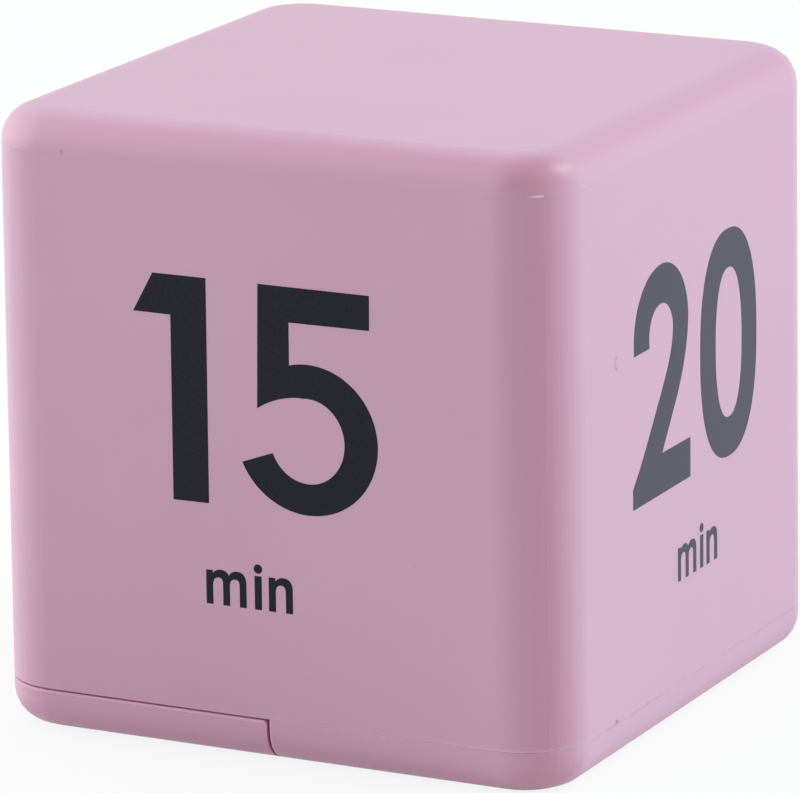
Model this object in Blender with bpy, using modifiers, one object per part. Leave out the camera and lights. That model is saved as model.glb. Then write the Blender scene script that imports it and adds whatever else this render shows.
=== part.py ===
"""Cube timer: a table timer that is turned until the wanted number of minutes lies on top.

Five sides are one moulded shell. The bottom is a base cover, whose left half is closed by a battery door
that wraps round the lower edges and slides off to the left. The base cover carries the battery well, the
display, the slide switch, the sounder and the circuit board with its four ball tilt switches.

Metres, +Z up. The origin is the centre of the underside, the front faces -Y and the door is at -X.
"""

import math

import bmesh
import bpy
from mathutils import Matrix, Vector

# Cube: outside sizes
SIDE = 0.0640
CORNER_RADIUS = 0.0069
TOP_RADIUS = 0.0037
BOTTOM_RADIUS = 0.0035
# The shell's sides lean in by this much from the joint to the top, so that it leaves its mould
DRAFT = 0.0002
WALL = 0.0020
FLOOR = 0.0020
# The underside of the shell's rim, where the door and the base cover meet it
RIM_HEIGHT = 0.00475
DOOR_SEAM = 0.00022
DOOR_END_SEAM = 0.00030
JOINT_GAP = 0.00003

# Fits that every piece shares
FIT = 0.0003
BITE = 0.0003
OVERRUN = 0.0010
CLEARANCE = 0.0005
HAIR = 0.000001

# Lip of the base cover, inside the shell's rim
LIP_THICK = 0.0010
LIP_HEIGHT = 0.0018
LIP_ROOT = 0.0012
SHELL_RIM_WALL = 0.0011

# Door rails, tongues and thumb grip
RAIL_RISE = 0.00025
RAIL_THICK = 0.0008
RAIL_DEPTH = 0.0013
RAIL_END = 0.0010
TONGUE_WIDTH = 0.0080
TONGUE_THICK = 0.0010
TONGUE_REACH = 0.0026
TONGUE_INSET = 0.0200
LATCH_HEIGHT = 0.00018
LATCH_LENGTH = 0.0008
DOOR_INNER_ROUND = 0.0006
DOOR_CORNER = 0.0004
REST_THICK = 0.0010
REST_INSET = 0.0080
FOOT_DEPTH = 0.0012
FOOT_HEIGHT = 0.0026
GRIP_INSET = 0.0110
GRIP_LENGTH = 0.0180
GRIP_WIDTH = 0.0084
GRIP_DEPTH = 0.0008
GRIP_SINK = 0.00015
GRIP_BAR = 0.0007
GRIP_PITCH = 0.0017
GRIP_BARS = 4

# Battery cells and their well. The cells take the room that the cube leaves: AAA size in a 64 mm cube
CELL_ROUND = 0.0005
NUB_RADIUS = 0.0019
NUB_HEIGHT = 0.0008
CELL_PLAY = 0.00035
CELL_SPACING = 0.0006
SPRING_ROOM = 0.0075
WELL_MARGIN = 0.0053
WELL_STEP = 0.00045
WELL_WALL = 0.0013
COLLAR_THICK = 0.0008
COLLAR_LAP = 0.0004

# Battery contacts and springs
PLATE_MARGIN = 0.00075
PLATE_CORNER = 0.0010
PLATE_THICK = 0.0004
DIMPLE_RADIUS = 0.0013
DIMPLE_HEIGHT = 0.0005
TAB_WIDTH = 0.0022
TAB_RISE = 0.0022
SPRING_WIRE = 0.00025
SPRING_MARGIN = 0.00165
SPRING_TIP_SHARE = 0.4
SPRING_TURNS = 4
SPRING_POINTS = 10

# Case screws, their pads in the cover and their posts in the shell
POST_RADIUS = 0.0030
POST_INSET = 0.0120
PAD_RISE = 0.0010
PAD_FLOOR = 0.0016
SCREW_RADIUS = 0.0011
SCREW_HEAD_RADIUS = 0.0019
SCREW_HEAD_HEIGHT = 0.0012
SCREW_LENGTH = 0.0090
GUSSET_THICK = 0.0010
GUSSET_REACH = 0.0034
GUSSET_HEIGHT = 0.0100

# Snap hooks at the right wall
HOOK_THICK = 0.0012
HOOK_WIDTH = 0.0070
HOOK_INSET = 0.0180
HOOK_BARB = 0.0007
CATCH_DEPTH = 0.0010
CATCH_THICK = 0.0012
CATCH_RISE = 0.0016

# Circuit board and its screws
BOARD_THICK = 0.0012
BOARD_MARGIN = 0.0024
BOARD_CORNER = 0.0010
BOSS_RADIUS = 0.0020
BOSS_INSET = 0.0029
BOARD_SCREW_RADIUS = 0.0008
BOARD_SCREW_HEAD_RADIUS = 0.0016
BOARD_SCREW_HEAD_HEIGHT = 0.0009
BOARD_SCREW_LENGTH = 0.0050

# Display
GLASS_THICK = 0.0011
GLASS_LEDGE = 0.0024
ZEBRA_WIDTH = 0.0018
ZEBRA_HEIGHT = 0.0043
HOLDER_WALL = 0.0009
DISPLAY_GAP = 0.0020
LENS_MARGIN = 0.0007
LENS_CORNER = 0.0015
LENS_THICK = 0.0008
LENS_SINK = 0.0001
WINDOW_MARGIN = 0.0014
WINDOW_CORNER = 0.0008

# Slide switch and its knob
SWITCH_INSET = 0.0030
SWITCH_Y = 0.0090
SWITCH_TRAVEL = 0.0025
SWITCH_CASE_WIDTH = 0.0036
SWITCH_CASE_LENGTH = 0.0086
SWITCH_CASE_HEIGHT = 0.0045
SWITCH_SKIN = 0.0005
SLIDER_WIDTH = 0.0020
SLIDER_LENGTH = 0.0030
SLIDER_HEIGHT = 0.0020
STEM_WIDTH = 0.0012
STEM_LENGTH = 0.0018
KNOB_WIDTH = 0.0026
KNOB_LENGTH = 0.0040
KNOB_PLATE = 0.0008
KNOB_SOCKET = 0.0015
KNOB_SINK = 0.0003
KNOB_FLANGE = 0.0010
KNOB_GROOVE = 0.0004
KNOB_GROOVES = 3
SWITCH_RECESS_WIDTH = 0.0058
SWITCH_RECESS_LENGTH = 0.0115
SWITCH_RECESS_DEPTH = 0.0011

# Indicator light
LED_Y = -0.0050
LED_RADIUS = 0.0015
LED_SINK = 0.0005
LED_BODY = 0.0042
LED_FLANGE_RADIUS = 0.0019
LED_FLANGE_HEIGHT = 0.0008
LED_LEG = 0.0005
LED_LEG_SPACING = 0.0018

# Sounder
SOUNDER_GAP = 0.0012
PIEZO_RADIUS = 0.0060
PIEZO_THICK = 0.0002
CERAMIC_RADIUS = 0.0045
PIEZO_RING_WALL = 0.0008
PIEZO_RING_HEIGHT = 0.0010
SOUND_HOLE_RADIUS = 0.0007
SOUND_HOLE_CIRCLE = 0.0032
SOUND_HOLES = 6

# Ball tilt switches, laid out as a cross on the board
TILT_Y = 0.0045
TILT_RADIUS = 0.0022
TILT_LENGTH = 0.0084
TILT_SKIN = 0.00025
TILT_START = 0.0026
TILT_PLUG = 0.0012
TILT_FLANGE = 0.0005
TILT_PIN = 0.0005
TILT_PIN_SPACING = 0.0018

# Small parts on the board
CHIP_RADIUS = 0.0041
CHIP_HEIGHT = 0.0014
CHIP_INSET = 0.0068
CAPACITOR_RADIUS = 0.0025
CAPACITOR_HEIGHT = 0.0060
CAPACITOR_INSET = 0.0064
CRYSTAL_RADIUS = 0.0014
CRYSTAL_LENGTH = 0.0065
CRYSTAL_INSET = 0.0079
RESISTOR_LENGTH = 0.0012
RESISTOR_WIDTH = 0.0020
RESISTOR_HEIGHT = 0.0005
RESISTOR_PITCH = 0.0030
RESISTORS = 3

# Leads
LEAD_RADIUS = 0.0005
SOUND_LEAD_RADIUS = 0.0004
SOUND_LEAD_STEP = 0.0030
LEAD_INSET = 0.0015
LEAD_POSITIVE_INSET = 0.0048
LEAD_NEGATIVE_INSET = 0.0073
LEAD_BOW_SHARE = 0.7
LEAD_STEPS = 14

# Facets
CORNER_STEPS = 8
EDGE_STEPS = 6
ROD_SIDES = 28
SMALL_SIDES = 16
FINE_SIDES = 12
PLATE_STEPS = 3
SHARP_ANGLE = 32
VAULT_STEPS = 12

# Places that follow from the sizes above
HALF = SIDE / 2
INNER = HALF - WALL
DOOR_TOP = RIM_HEIGHT - DOOR_SEAM
BASE_TOP = RIM_HEIGHT - JOINT_GAP
DOOR_END = -DOOR_END_SEAM / 2
BASE_END = DOOR_END_SEAM / 2
LIP_OUT = HALF - SHELL_RIM_WALL - FIT
LIP_IN = LIP_OUT - LIP_THICK
LIP_TOP = RIM_HEIGHT + LIP_HEIGHT
DECK_LOW = DOOR_TOP + FIT
FLOOR_SEAT = FLOOR + FIT
RAIL_LOW = FLOOR_SEAT + RAIL_RISE
RAIL_TOP = RAIL_LOW + RAIL_THICK
RAIL_OUT = INNER - FIT
RAIL_START = -HALF + CORNER_RADIUS + CLEARANCE

WELL_RIGHT = BASE_END + WELL_STEP
WELL_LEFT = WELL_MARGIN - LIP_IN
CELL_RADIUS = (WELL_RIGHT - WELL_LEFT - 2 * (CELL_PLAY + WELL_WALL) - CELL_SPACING) / 4
VAULT = CELL_RADIUS + CELL_PLAY
VAULT_OUT = VAULT + WELL_WALL
CELL_RIGHT_X = WELL_RIGHT - VAULT_OUT
CELL_LEFT_X = WELL_LEFT + VAULT_OUT
CELL_MID_X = (CELL_RIGHT_X + CELL_LEFT_X) / 2
TONGUE_Y = HALF - TONGUE_INSET
TONGUE_TOP = FLOOR_SEAT + TONGUE_THICK
# The cells and the well's long sides stay above the tongues, which pass under them as the door slides off
CELL_FLOOR = TONGUE_TOP + LATCH_HEIGHT + FIT
CELL_Z = CELL_FLOOR + CELL_RADIUS
VAULT_TOP = CELL_Z + VAULT_OUT
WELL_HALF = RAIL_OUT - RAIL_DEPTH - WELL_WALL
WELL_END = WELL_HALF + WELL_WALL
WELL_LOW = FLOOR_SEAT + FIT / 2
REST_Y = WELL_HALF - REST_INSET
END_POCKET = PLATE_THICK + 2 * FIT
POCKET_IN = WELL_HALF - END_POCKET
COLLAR_IN = POCKET_IN - COLLAR_THICK
PLATE_REACH = CELL_RADIUS - PLATE_MARGIN
COLLAR_REACH = PLATE_REACH - COLLAR_LAP
PLATE_FACE = WELL_HALF - FIT - PLATE_THICK
CELL_TIP = PLATE_FACE - DIMPLE_HEIGHT - FIT
CELL_TAIL = SPRING_ROOM - PLATE_FACE
CELL_LENGTH = CELL_TIP - CELL_TAIL
SPRING_BASE_RADIUS = CELL_RADIUS - SPRING_MARGIN
POST_Y = WELL_HALF - POST_INSET
PAD_TOP = VAULT_TOP + PAD_RISE
HEAD_SEAT = PAD_TOP - PAD_FLOOR

CATCH_IN = INNER - CATCH_DEPTH
CATCH_LOW = LIP_TOP + CATCH_RISE
HOOK_OUT = CATCH_IN - FIT
HOOK_IN = HOOK_OUT - HOOK_THICK
HOOK_Y = HALF - HOOK_INSET

DISPLAY_STACK = FIT + GLASS_THICK + FIT + ZEBRA_HEIGHT + FIT
BOARD_LOW = FLOOR + DISPLAY_STACK
BOARD_TOP = BOARD_LOW + BOARD_THICK
BOARD_SEAT = BOARD_TOP + FIT
BOARD_LEFT = WELL_RIGHT + CLEARANCE
BOARD_RIGHT = HOOK_IN - CLEARANCE
BOARD_MID = (BOARD_LEFT + BOARD_RIGHT) / 2
BOARD_HALF = LIP_IN - BOARD_MARGIN
BOSS_Y = BOARD_HALF - BOSS_INSET
BOSS_PLACES = [
    (x, y) for x in (BOARD_LEFT + BOSS_INSET, BOARD_RIGHT - BOSS_INSET) for y in (-BOSS_Y, BOSS_Y)
]

# The display fills the floor from the tongues to the switch, and from the back bosses to the sounder
FOOT_RIGHT = WELL_RIGHT + FOOT_DEPTH
SWITCH_X = BOARD_RIGHT - SWITCH_INSET
HOLDER_LEFT = TONGUE_REACH + CLEARANCE
HOLDER_RIGHT = SWITCH_X - KNOB_WIDTH / 2 - KNOB_FLANGE - DISPLAY_GAP
HOLDER_BACK = BOSS_Y - BOSS_RADIUS - CLEARANCE
PIEZO_Y = PIEZO_RADIUS - HOLDER_BACK
HOLDER_FRONT = PIEZO_Y + PIEZO_RADIUS + SOUNDER_GAP
DISPLAY_X = (HOLDER_LEFT + HOLDER_RIGHT) / 2
DISPLAY_Y = (HOLDER_FRONT + HOLDER_BACK) / 2
GLASS_HALF_WIDTH = (HOLDER_RIGHT - HOLDER_LEFT) / 2 - HOLDER_WALL - FIT
GLASS_HALF_LENGTH = (HOLDER_BACK - HOLDER_FRONT) / 2 - HOLDER_WALL - FIT

SWITCH_REST_Y = SWITCH_Y - SWITCH_TRAVEL / 2
SWITCH_CASE_TOP = BOARD_LOW - FIT
SWITCH_CASE_LOW = SWITCH_CASE_TOP - SWITCH_CASE_HEIGHT
SLIDER_LOW = SWITCH_CASE_LOW + SWITCH_SKIN + FIT
# The knob's plate runs between the floor and the switch
KNOB_TOP = SWITCH_CASE_LOW - FIT
KNOB_SEAT = FLOOR_SEAT + KNOB_PLATE
SOCKET_LOW = KNOB_TOP - KNOB_SOCKET

TILT_Z = BOARD_SEAT + TILT_RADIUS
TILT_BORE = TILT_RADIUS - TILT_SKIN
BALL_RADIUS = TILT_BORE - FIT
TILT_END = TILT_START + TILT_LENGTH
BALL_REST = TILT_END - TILT_FLANGE - FIT / 2 - BALL_RADIUS

PINK = (0.66, 0.35, 0.47)
WHITE = (0.80, 0.80, 0.78)
BLACK = (0.02, 0.02, 0.02)
NICKEL = (0.62, 0.61, 0.58)
RED = (0.50, 0.02, 0.02)


def clear_scene():
    """Removes what a new Blender file holds."""
    for obj in list(bpy.data.objects):
        bpy.data.objects.remove(obj, do_unlink=True)


def new_collection(name):
    collection = bpy.data.collections.new(name)
    bpy.context.scene.collection.children.link(collection)
    return collection


def finish(obj, name, colour, roughness, metallic=0.0):
    """Gives a piece its own plain material."""
    material = bpy.data.materials.new(name)
    material.use_nodes = True
    shader = material.node_tree.nodes["Principled BSDF"]
    shader.inputs["Base Color"].default_value = (*colour, 1.0)
    shader.inputs["Roughness"].default_value = roughness
    shader.inputs["Metallic"].default_value = metallic
    obj.data.materials.append(material)
    return obj


def add_box(bm, low, high):
    """Adds a box between two corners."""
    verts = bmesh.ops.create_cube(bm, size=1.0)["verts"]
    for vert in verts:
        for axis in range(3):
            vert.co[axis] = high[axis] if vert.co[axis] > 0 else low[axis]
    return verts


def add_rod(bm, start, end, radius, sides, end_radius=None):
    """Adds a closed cylinder, or a cone if end_radius is given, from start to end."""
    start = Vector(start)
    end = Vector(end)
    turn = Vector((0, 0, 1)).rotation_difference(end - start).to_matrix().to_4x4()
    bmesh.ops.create_cone(
        bm,
        cap_ends=True,
        segments=sides,
        radius1=radius,
        radius2=radius if end_radius is None else end_radius,
        depth=(end - start).length,
        matrix=Matrix.Translation((start + end) / 2) @ turn,
    )


def make_object(name, bm, collection):
    """Turns the mesh under construction into an object with smooth curves and sharp corners."""
    mesh = bpy.data.meshes.new(name)
    bm.to_mesh(mesh)
    bm.free()
    mesh.shade_smooth()
    mesh.set_sharp_from_angle(angle=math.radians(SHARP_ANGLE))
    obj = bpy.data.objects.new(name, mesh)
    collection.objects.link(obj)
    return obj


def boxes(name, corners, collection):
    """One object of separate boxes, given as pairs of corners."""
    bm = bmesh.new()
    for low, high in corners:
        add_box(bm, low, high)
    return make_object(name, bm, collection)


def box(name, low, high, collection):
    """One object that is a single box."""
    return boxes(name, [(low, high)], collection)


def centred_box(name, centre, half_size, low, high, collection):
    """An upright box about a centre (x, y), with its half sizes along X and Y."""
    x, y = centre
    across, along = half_size
    return box(name, (x - across, y - along, low), (x + across, y + along, high), collection)


def rods(name, places, radius, low, high, collection, sides=ROD_SIDES):
    """One object of separate upright cylinders."""
    bm = bmesh.new()
    for x, y in places:
        add_rod(bm, (x, y, low), (x, y, high), radius, sides)
    return make_object(name, bm, collection)


def round_edges(bm, edges, radius, steps):
    bmesh.ops.bevel(bm, geom=edges, offset=radius, segments=steps, profile=0.5, affect="EDGES")


def rounded_block(name, low, high, corner, collection, low_round=0, high_round=0, draft=0):
    """A block with rounded upright edges and, if asked, a rounded lower or upper rim.

    The sides lean in by draft at the top.
    """
    bm = bmesh.new()
    for vert in add_box(bm, low, high):
        if draft and vert.co.z > low[2]:
            vert.co.x -= math.copysign(draft, vert.co.x)
            vert.co.y -= math.copysign(draft, vert.co.y)
    upright = [e for e in bm.edges if abs(e.verts[0].co.z - e.verts[1].co.z) > HAIR]
    round_edges(bm, upright, corner, CORNER_STEPS)
    for level, radius in ((low[2], low_round), (high[2], high_round)):
        if radius:
            rim = [e for e in bm.edges if all(abs(v.co.z - level) < HAIR for v in e.verts)]
            round_edges(bm, rim, radius, EDGE_STEPS)
    return make_object(name, bm, collection)


def prism(name, outline, low, high, collection):
    """A flat outline of (x, z) points, drawn as a 2D curve, that reaches along Y from low to high."""
    curve = bpy.data.curves.new(name, "CURVE")
    curve.dimensions = "2D"
    curve.fill_mode = "BOTH"
    curve.extrude = (high - low) / 2
    spline = curve.splines.new("POLY")
    spline.points.add(len(outline) - 1)
    for point, (across, up) in zip(spline.points, outline):
        point.co = (across, up, 0, 1)
    spline.use_cyclic_u = True
    upright = Matrix.Rotation(math.radians(90), 4, "X")
    return curve_to_mesh(name, curve, Matrix.Translation((0, (low + high) / 2, 0)) @ upright, collection)


def curve_to_mesh(name, curve, place, collection):
    """Makes a curve a closed mesh, so that it can be cut, joined or used as a cutter."""
    source = bpy.data.objects.new(name + "_curve", curve)
    bpy.context.scene.collection.objects.link(source)
    source.matrix_world = place
    bpy.context.view_layer.update()
    evaluated = source.evaluated_get(bpy.context.evaluated_depsgraph_get())
    mesh = bpy.data.meshes.new_from_object(evaluated)
    mesh.transform(place)
    bpy.data.objects.remove(source, do_unlink=True)
    bm = bmesh.new()
    bm.from_mesh(mesh)
    bmesh.ops.remove_doubles(bm, verts=bm.verts, dist=HAIR)
    bmesh.ops.recalc_face_normals(bm, faces=bm.faces)
    bpy.data.meshes.remove(mesh)
    return make_object(name, bm, collection)


def turned(name, profile, place, collection, sides=ROD_SIDES):
    """A turned piece: a profile of (radius, z) points, top to bottom, swept about the upright axis."""
    bm = bmesh.new()
    verts = [bm.verts.new((radius, 0, z)) for radius, z in profile]
    for first, second in zip(verts, verts[1:]):
        bm.edges.new((first, second))
    obj = make_object(name, bm, collection)
    obj.location = place
    screw = obj.modifiers.new("Turn", "SCREW")
    screw.steps = sides
    screw.render_steps = sides
    screw.use_merge_vertices = True
    screw.merge_threshold = HAIR
    screw.use_smooth_shade = True
    return obj


def combine(target, tool, operation):
    modifier = target.modifiers.new(tool.name, "BOOLEAN")
    modifier.operation = operation
    modifier.solver = "EXACT"
    modifier.object = tool
    tool.hide_render = True
    tool.display_type = "WIRE"


def cut(target, *tools):
    for tool in tools:
        combine(target, tool, "DIFFERENCE")


def join(target, *tools):
    for tool in tools:
        combine(target, tool, "UNION")


def set_origin(obj, point):
    """Moves a piece's origin without moving the piece."""
    obj.data.transform(Matrix.Translation(-Vector(point)))
    obj.location = point


def both_sides(value):
    return (-value, value)


# Shell


def main_shell(parts, tools):
    """Five sides in one moulding, with a rebate for the cover's lip, two screw posts and two catches."""
    shell = rounded_block(
        "main_shell",
        (-HALF, -HALF, RIM_HEIGHT),
        (HALF, HALF, SIDE),
        CORNER_RADIUS,
        parts,
        high_round=TOP_RADIUS,
        draft=DRAFT,
    )
    hollow = rounded_block(
        "shell_hollow",
        (-INNER, -INNER, RIM_HEIGHT - OVERRUN),
        (INNER, INNER, SIDE - WALL),
        CORNER_RADIUS - WALL,
        tools,
        high_round=TOP_RADIUS - WALL,
        draft=DRAFT,
    )
    rebate_half = HALF - SHELL_RIM_WALL
    rebate = rounded_block(
        "shell_rebate",
        (-rebate_half, -rebate_half, RIM_HEIGHT - OVERRUN),
        (rebate_half, rebate_half, LIP_TOP + FIT),
        CORNER_RADIUS - SHELL_RIM_WALL,
        tools,
    )
    ceiling = SIDE - WALL + BITE
    post_places = [(CELL_MID_X, y) for y in both_sides(POST_Y)]
    posts = rods("shell_posts", post_places, POST_RADIUS, PAD_TOP + FIT, ceiling, tools)
    reach = POST_RADIUS + GUSSET_REACH
    gusset_low = ceiling - GUSSET_HEIGHT
    across = []
    along = []
    for x, y in post_places:
        across.append(
            ((x - reach, y - GUSSET_THICK / 2, gusset_low), (x + reach, y + GUSSET_THICK / 2, ceiling))
        )
        along.append(
            ((x - GUSSET_THICK / 2, y - reach, gusset_low), (x + GUSSET_THICK / 2, y + reach, ceiling))
        )
    bores = rods(
        "post_bores",
        post_places,
        SCREW_RADIUS + FIT,
        PAD_TOP,
        HEAD_SEAT + SCREW_LENGTH + OVERRUN,
        tools,
        SMALL_SIDES,
    )
    catches = boxes(
        "shell_catches",
        [
            (
                (CATCH_IN, y - HOOK_WIDTH / 2 - CLEARANCE, CATCH_LOW),
                (INNER + BITE, y + HOOK_WIDTH / 2 + CLEARANCE, CATCH_LOW + CATCH_THICK),
            )
            for y in both_sides(HOOK_Y)
        ],
        tools,
    )
    cut(shell, hollow, rebate)
    join(shell, posts, boxes("gussets_across", across, tools), boxes("gussets_along", along, tools))
    cut(shell, bores)
    join(shell, catches)
    return finish(shell, "shell_pink", PINK, 0.42)


# Base cover


def double_vault(radius, bottom):
    """Outline of the battery well seen along Y: straight sides and one arch over each cell."""
    valley = math.acos(min(1.0, (CELL_RIGHT_X - CELL_LEFT_X) / 2 / radius))
    points = [(CELL_LEFT_X - radius, bottom)]
    for centre, start, end in ((CELL_LEFT_X, math.pi, valley), (CELL_RIGHT_X, math.pi - valley, 0)):
        first_step = 0 if centre == CELL_LEFT_X else 1
        for step in range(first_step, VAULT_STEPS + 1):
            angle = start + (end - start) * step / VAULT_STEPS
            points.append((centre + radius * math.cos(angle), CELL_Z + radius * math.sin(angle)))
    points.append((CELL_RIGHT_X + radius, bottom))
    return points


def cover_tray(parts, tools):
    """Floor, walls and rounded lower edges, still as wide as the whole cube."""
    cover = rounded_block(
        "base_cover",
        (-HALF, -HALF, 0),
        (HALF, HALF, BASE_TOP),
        CORNER_RADIUS,
        parts,
        low_round=BOTTOM_RADIUS,
    )
    hollow = rounded_block(
        "cover_hollow",
        (-INNER, -INNER, FLOOR),
        (INNER, INNER, BASE_TOP + OVERRUN),
        CORNER_RADIUS - WALL,
        tools,
        low_round=BOTTOM_RADIUS - WALL,
    )
    cut(cover, hollow)
    return cover


def cover_lip(tools):
    """The lip inside the shell's rim. Over the door it widens into a deck that carries the well."""
    corner = CORNER_RADIUS - SHELL_RIM_WALL - FIT
    lip = rounded_block(
        "cover_lip", (-LIP_OUT, -LIP_OUT, BASE_TOP - LIP_ROOT), (LIP_OUT, LIP_OUT, LIP_TOP), corner, tools
    )
    opening = rounded_block(
        "lip_opening",
        (WELL_RIGHT - BITE, -LIP_IN, BASE_TOP - LIP_ROOT - OVERRUN),
        (LIP_IN, LIP_IN, LIP_TOP + OVERRUN),
        corner - LIP_THICK,
        tools,
    )
    cut(lip, opening)
    return lip


def cover_door_space(tools):
    """The left half of the bottom, which belongs to the door."""
    return boxes(
        "cover_door_space",
        [((-HALF - OVERRUN, -HALF - OVERRUN, -OVERRUN), (BASE_END, HALF + OVERRUN, DECK_LOW))],
        tools,
    )


def cover_well(tools):
    """The battery well's outside: two arches, end blocks, screw pads, door rails and the foot."""
    arch_end = WELL_END - BITE
    well = prism("cover_well", double_vault(VAULT_OUT, CELL_FLOOR), -arch_end, arch_end, tools)
    proud = BITE / 2
    block_in = COLLAR_IN - CLEARANCE
    blocks = boxes(
        "well_ends",
        [
            ((WELL_LEFT - proud, low, WELL_LOW), (WELL_RIGHT + proud, high, VAULT_TOP + proud))
            for low, high in ((-WELL_END, -block_in), (block_in, WELL_END))
        ],
        tools,
    )
    pad_places = [(CELL_MID_X, y) for y in both_sides(POST_Y)]
    pads = rods("screw_pads", pad_places, POST_RADIUS, CELL_Z + CELL_RADIUS / 2, PAD_TOP, tools)
    rails = boxes(
        "door_rails",
        [
            ((RAIL_START, low, RAIL_LOW), (-RAIL_END, high, RAIL_TOP))
            for low, high in ((-RAIL_OUT, BITE - WELL_END), (WELL_END - BITE, RAIL_OUT))
        ],
        tools,
    )
    foot_half = WELL_END - BITE / 2
    foot = boxes(
        "well_foot",
        [((BASE_END + BITE / 2, -foot_half, FLOOR - BITE), (FOOT_RIGHT, foot_half, FLOOR + FOOT_HEIGHT))],
        tools,
    )
    return well, blocks, pads, rails, foot


def hook_outline():
    """A snap hook seen along Y: an upright tongue with a barb over the shell's catch."""
    seat = CATCH_LOW + CATCH_THICK + FIT
    top = seat + HOOK_THICK
    return [
        (HOOK_IN, FLOOR - BITE),
        (HOOK_OUT, FLOOR - BITE),
        (HOOK_OUT, seat),
        (HOOK_OUT + HOOK_BARB, seat),
        (HOOK_OUT, top),
        (HOOK_IN, top),
    ]


def cover_supports(tools):
    """What stands on the cover's floor: board bosses, snap hooks and the sounder's ring."""
    bosses = rods("board_bosses", BOSS_PLACES, BOSS_RADIUS, FLOOR - BITE, BOARD_LOW - FIT, tools)
    hooks = [
        prism(f"snap_hook_{side}", hook_outline(), y - HOOK_WIDTH / 2, y + HOOK_WIDTH / 2, tools)
        for side, y in zip(("front", "back"), both_sides(HOOK_Y))
    ]
    place = [(BOARD_MID, PIEZO_Y)]
    top = FLOOR + PIEZO_RING_HEIGHT
    ring = rods("sounder_ring", place, PIEZO_RADIUS, FLOOR - BITE, top, tools)
    ring_bore = rods(
        "sounder_ring_bore", place, PIEZO_RADIUS - PIEZO_RING_WALL, FLOOR - OVERRUN, top + OVERRUN, tools
    )
    cut(ring, ring_bore)
    return [bosses, *hooks, ring]


def mirrored(inner, outer):
    """A stretch of Y at both ends of the well, as pairs of low and high."""
    return ((-outer, -inner), (inner, outer))


def well_cuts(tools):
    """The hollow for the cells, the collars and pockets of the contacts, and the screw holes."""
    cavity = prism("well_cavity", double_vault(VAULT, 0), -COLLAR_IN, COLLAR_IN, tools)
    collars = boxes(
        "contact_collars",
        [
            ((x - COLLAR_REACH, low, 0), (x + COLLAR_REACH, high, CELL_Z + COLLAR_REACH))
            for x in (CELL_LEFT_X, CELL_RIGHT_X)
            for low, high in mirrored(COLLAR_IN - CLEARANCE, POCKET_IN + FIT)
        ],
        tools,
    )
    reach = PLATE_REACH + FIT
    pockets = boxes(
        "contact_pockets",
        [
            ((CELL_LEFT_X - reach, low, -FIT), (CELL_RIGHT_X + reach, high, CELL_Z + reach))
            for low, high in mirrored(POCKET_IN, WELL_HALF)
        ],
        tools,
    )
    slot = TAB_WIDTH / 2 + FIT
    slots = boxes(
        "tab_slots",
        [
            (
                (x - slot, POCKET_IN + FIT / 2, CELL_Z + PLATE_REACH),
                (x + slot, WELL_HALF + FIT / 2, VAULT_TOP + OVERRUN),
            )
            for x in (CELL_LEFT_X, CELL_RIGHT_X)
        ],
        tools,
    )
    places = [(CELL_MID_X, y) for y in both_sides(POST_Y)]
    head_bores = rods("head_bores", places, SCREW_HEAD_RADIUS + FIT, FLOOR, HEAD_SEAT, tools, SMALL_SIDES)
    holes = rods(
        "screw_holes", places, SCREW_RADIUS + FIT, HEAD_SEAT - OVERRUN, PAD_TOP + OVERRUN, tools, SMALL_SIDES
    )
    return cavity, collars, pockets, slots, head_bores, holes


def flat_prism(name, centre, half_size, corner, low, high, collection):
    """A block about a centre (x, y) with rounded upright edges."""
    x, y = centre
    across, along = half_size
    return rounded_block(name, (x - across, y - along, low), (x + across, y + along, high), corner, collection)


def floor_cuts(tools):
    """Openings in the cover's floor for the display, the switch, the light and the sounder."""
    display_centre = (DISPLAY_X, DISPLAY_Y)
    lens_half = (GLASS_HALF_WIDTH + LENS_MARGIN + FIT, GLASS_HALF_LENGTH + LENS_MARGIN + FIT)
    lens_top = LENS_SINK + LENS_THICK + FIT
    lens_pocket = flat_prism("lens_pocket", display_centre, lens_half, LENS_CORNER, -OVERRUN, lens_top, tools)
    window_half = (GLASS_HALF_WIDTH - WINDOW_MARGIN, GLASS_HALF_LENGTH - WINDOW_MARGIN)
    floor_top = FLOOR + OVERRUN
    window = flat_prism("window", display_centre, window_half, WINDOW_CORNER, -OVERRUN, floor_top, tools)
    recess = flat_prism(
        "switch_recess",
        (SWITCH_X, SWITCH_Y),
        (SWITCH_RECESS_WIDTH / 2, SWITCH_RECESS_LENGTH / 2),
        SWITCH_RECESS_WIDTH / 2 - HAIR,
        -OVERRUN,
        SWITCH_RECESS_DEPTH,
        tools,
    )
    slot_half = (KNOB_WIDTH / 2 + FIT, (KNOB_LENGTH + SWITCH_TRAVEL) / 2 + FIT)
    slot = centred_box("switch_slot", (SWITCH_X, SWITCH_Y), slot_half, 0, floor_top, tools)
    light = rods(
        "light_hole", [(SWITCH_X, LED_Y)], LED_RADIUS + FIT, -OVERRUN, FLOOR + OVERRUN, tools, SMALL_SIDES
    )
    places = [(BOARD_MID, PIEZO_Y)]
    for step in range(SOUND_HOLES):
        angle = 2 * math.pi * step / SOUND_HOLES
        places.append(
            (
                BOARD_MID + SOUND_HOLE_CIRCLE * math.cos(angle),
                PIEZO_Y + SOUND_HOLE_CIRCLE * math.sin(angle),
            )
        )
    sound = rods("sound_holes", places, SOUND_HOLE_RADIUS, -OVERRUN, FLOOR + OVERRUN, tools, FINE_SIDES)
    return lens_pocket, window, recess, slot, light, sound


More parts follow.
